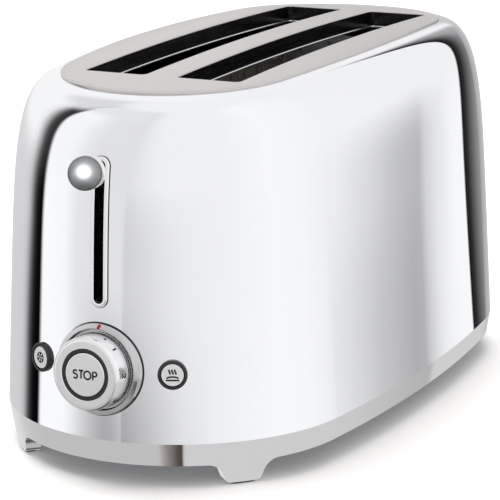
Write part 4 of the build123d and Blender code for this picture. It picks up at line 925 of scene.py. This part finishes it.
# The large flag is an oval on the far side, darkest along its edge.
flag_half_turn, flag_half_height, flag_centre = 40.3, 36, -5
flag_edge, flag_edge_end = 0.975, 0.995
back_turn = reckon("SUBTRACT", reckon("ABSOLUTE", ray_turn), 180)
turn_reach = reckon("POWER", reckon("DIVIDE", back_turn, flag_half_turn), 2)
off_flag_centre = reckon("SUBTRACT", ray_height, flag_centre)
height_reach = reckon("POWER", reckon("DIVIDE", off_flag_centre, flag_half_height), 2)
flag_reach = reckon("ADD", turn_reach, height_reach)
flag_ramp = tent.nodes.new("ShaderNodeValToRGB")
put(flag_ramp.inputs["Fac"], flag_reach)
flag_stops = [(0.0, 0.62), (0.2, 0.56), (0.38, 0.48), (0.59, 0.44), (0.72, 0.36), (0.79, 0.25), (0.86, 0.12),
              (0.92, 0.03), (flag_edge, 0.008)]
flag_elements = flag_ramp.color_ramp.elements
flag_elements.remove(flag_elements[-1])
for number, (position, level) in enumerate(flag_stops):
    element = flag_elements[0] if number == 0 else flag_elements.new(position)
    element.color = (level, level, level, 1)
in_flag = smooth_between(flag_reach, flag_edge, flag_edge_end, 1.0, 0.0)
in_flag = times(in_flag, smooth_between(ray_turn, -20, 0))
flag_gap = times(smooth_between(ray_turn, 160, 168), smooth_between(ray_height, 6, 14))
in_flag = times(in_flag, reckon("SUBTRACT", 1.0, flag_gap))
walls = blended(in_flag, walls, flag_ramp.outputs["Color"])

# Well below the horizon the polished parts mirror a pale surround with one dark upright in it.
table_tent = tent_levels(ray_turn, [
    (-180, 206), (-172, 222), (-161, 224), (-149, 219), (-137, 205), (-125, 197), (-113, 192), (-19, 192),
    (-15, 160, 155, 152), (-12, 138, 132, 129), (-5.5, 84, 76, 73), (-1.8, 78, 70, 67),
    (-1.3, 207, 207, 208), (117, 206), (124, 203), (131, 190), (138.5, 178), (139, 208), (180, 206)])
walls = blended(smooth_between(ray_height, -16, -20), walls, table_tent)
walls = blended(smooth_between(ray_height, -48, -75), walls, 0.1)
seen_straight = tent.nodes.new("ShaderNodeLightPath").outputs["Is Camera Ray"]
put(glow.inputs["Color"], blended(seen_straight, walls, 1.0))

bpy.ops.mesh.primitive_plane_add(size=12)
table = bpy.context.object
table.name = "table"
table_white = new_finish("table_white", (0.93, 0.915, 0.905), rough=0.9, spread=0.03, tint=0.004, grain=40,
                         depth=1e-5, metal=0.0)
table.data.materials.append(table_white)
table.visible_glossy = False

key_light = bpy.data.lights.new("soft_key", "SUN")
key_light.energy = 2.6
key_light.angle = math.radians(55)
key = bpy.data.objects.new("soft_key", key_light)
bpy.context.scene.collection.objects.link(key)
key_from = -0.25 * toward_right - 0.3 * toward_camera + Vector((0, 0, 1.3))
key.rotation_euler = key_from.to_track_quat("Z", "Y").to_euler()
key.visible_glossy = False

# Ball lamp: a broad oval soft lamp on the camera's side, hung a little above the lever's ball. It lights
# only the ball and gives it its one soft highlight.
ball_lamp = bpy.data.lights.new("ball_lamp", "AREA")
ball_lamp.shape = "ELLIPSE"
ball_lamp.size = 1.8
ball_lamp.size_y = 1.6
ball_lamp.energy = 38
lamp = bpy.data.objects.new("ball_lamp", ball_lamp)
bpy.context.scene.collection.objects.link(lamp)
lamp_aim, lamp_distance = Vector((0, -0.193, 0.1676)), 0.9
lamp_from = toward_camera + Vector((0, 0, 0.42)) - 0.1 * toward_right
lamp.location = lamp_aim + lamp_distance * lamp_from.normalized()
lamp.rotation_euler = lamp_from.to_track_quat("Z", "Y").to_euler()
lamp.visible_camera = False
ball_only = bpy.data.collections.new("lit_by_ball_lamp")
ball_only.objects.link(nodes["lever_ball"])
lamp.light_linking.receiver_collection = ball_only

# Camera: a long lens a little above the toaster's shoulder and to the right of its control end, as the
# photograph was taken. It is rolled by half a degree.
view_height, view_roll = math.radians(14.014), math.radians(-0.56)
sight = Vector((-324.043, 632.731 + middle_y, -95.463)) * mm
sight_distance = 2224.541 * mm
back = Vector((math.sin(view_azimuth) * math.cos(view_height),
               -math.cos(view_azimuth) * math.cos(view_height), math.sin(view_height)))
rightward = (-back).cross(Vector((0, 0, 1))).normalized()
upward = rightward.cross(-back)
rolled_right = rightward * math.cos(view_roll) + upward * math.sin(view_roll)
rolled_up = upward * math.cos(view_roll) - rightward * math.sin(view_roll)
lens = bpy.data.cameras.new("long_lens")
lens.sensor_width = 36
lens.lens = 184.85
camera = bpy.data.objects.new("camera", lens)
bpy.context.scene.collection.objects.link(camera)
camera_place = Matrix((rolled_right, rolled_up, back)).transposed().to_4x4()
camera_place.translation = sight + sight_distance * back
camera.matrix_world = camera_place
bpy.context.scene.camera = camera
bpy.context.scene.view_settings.view_transform = "Standard"
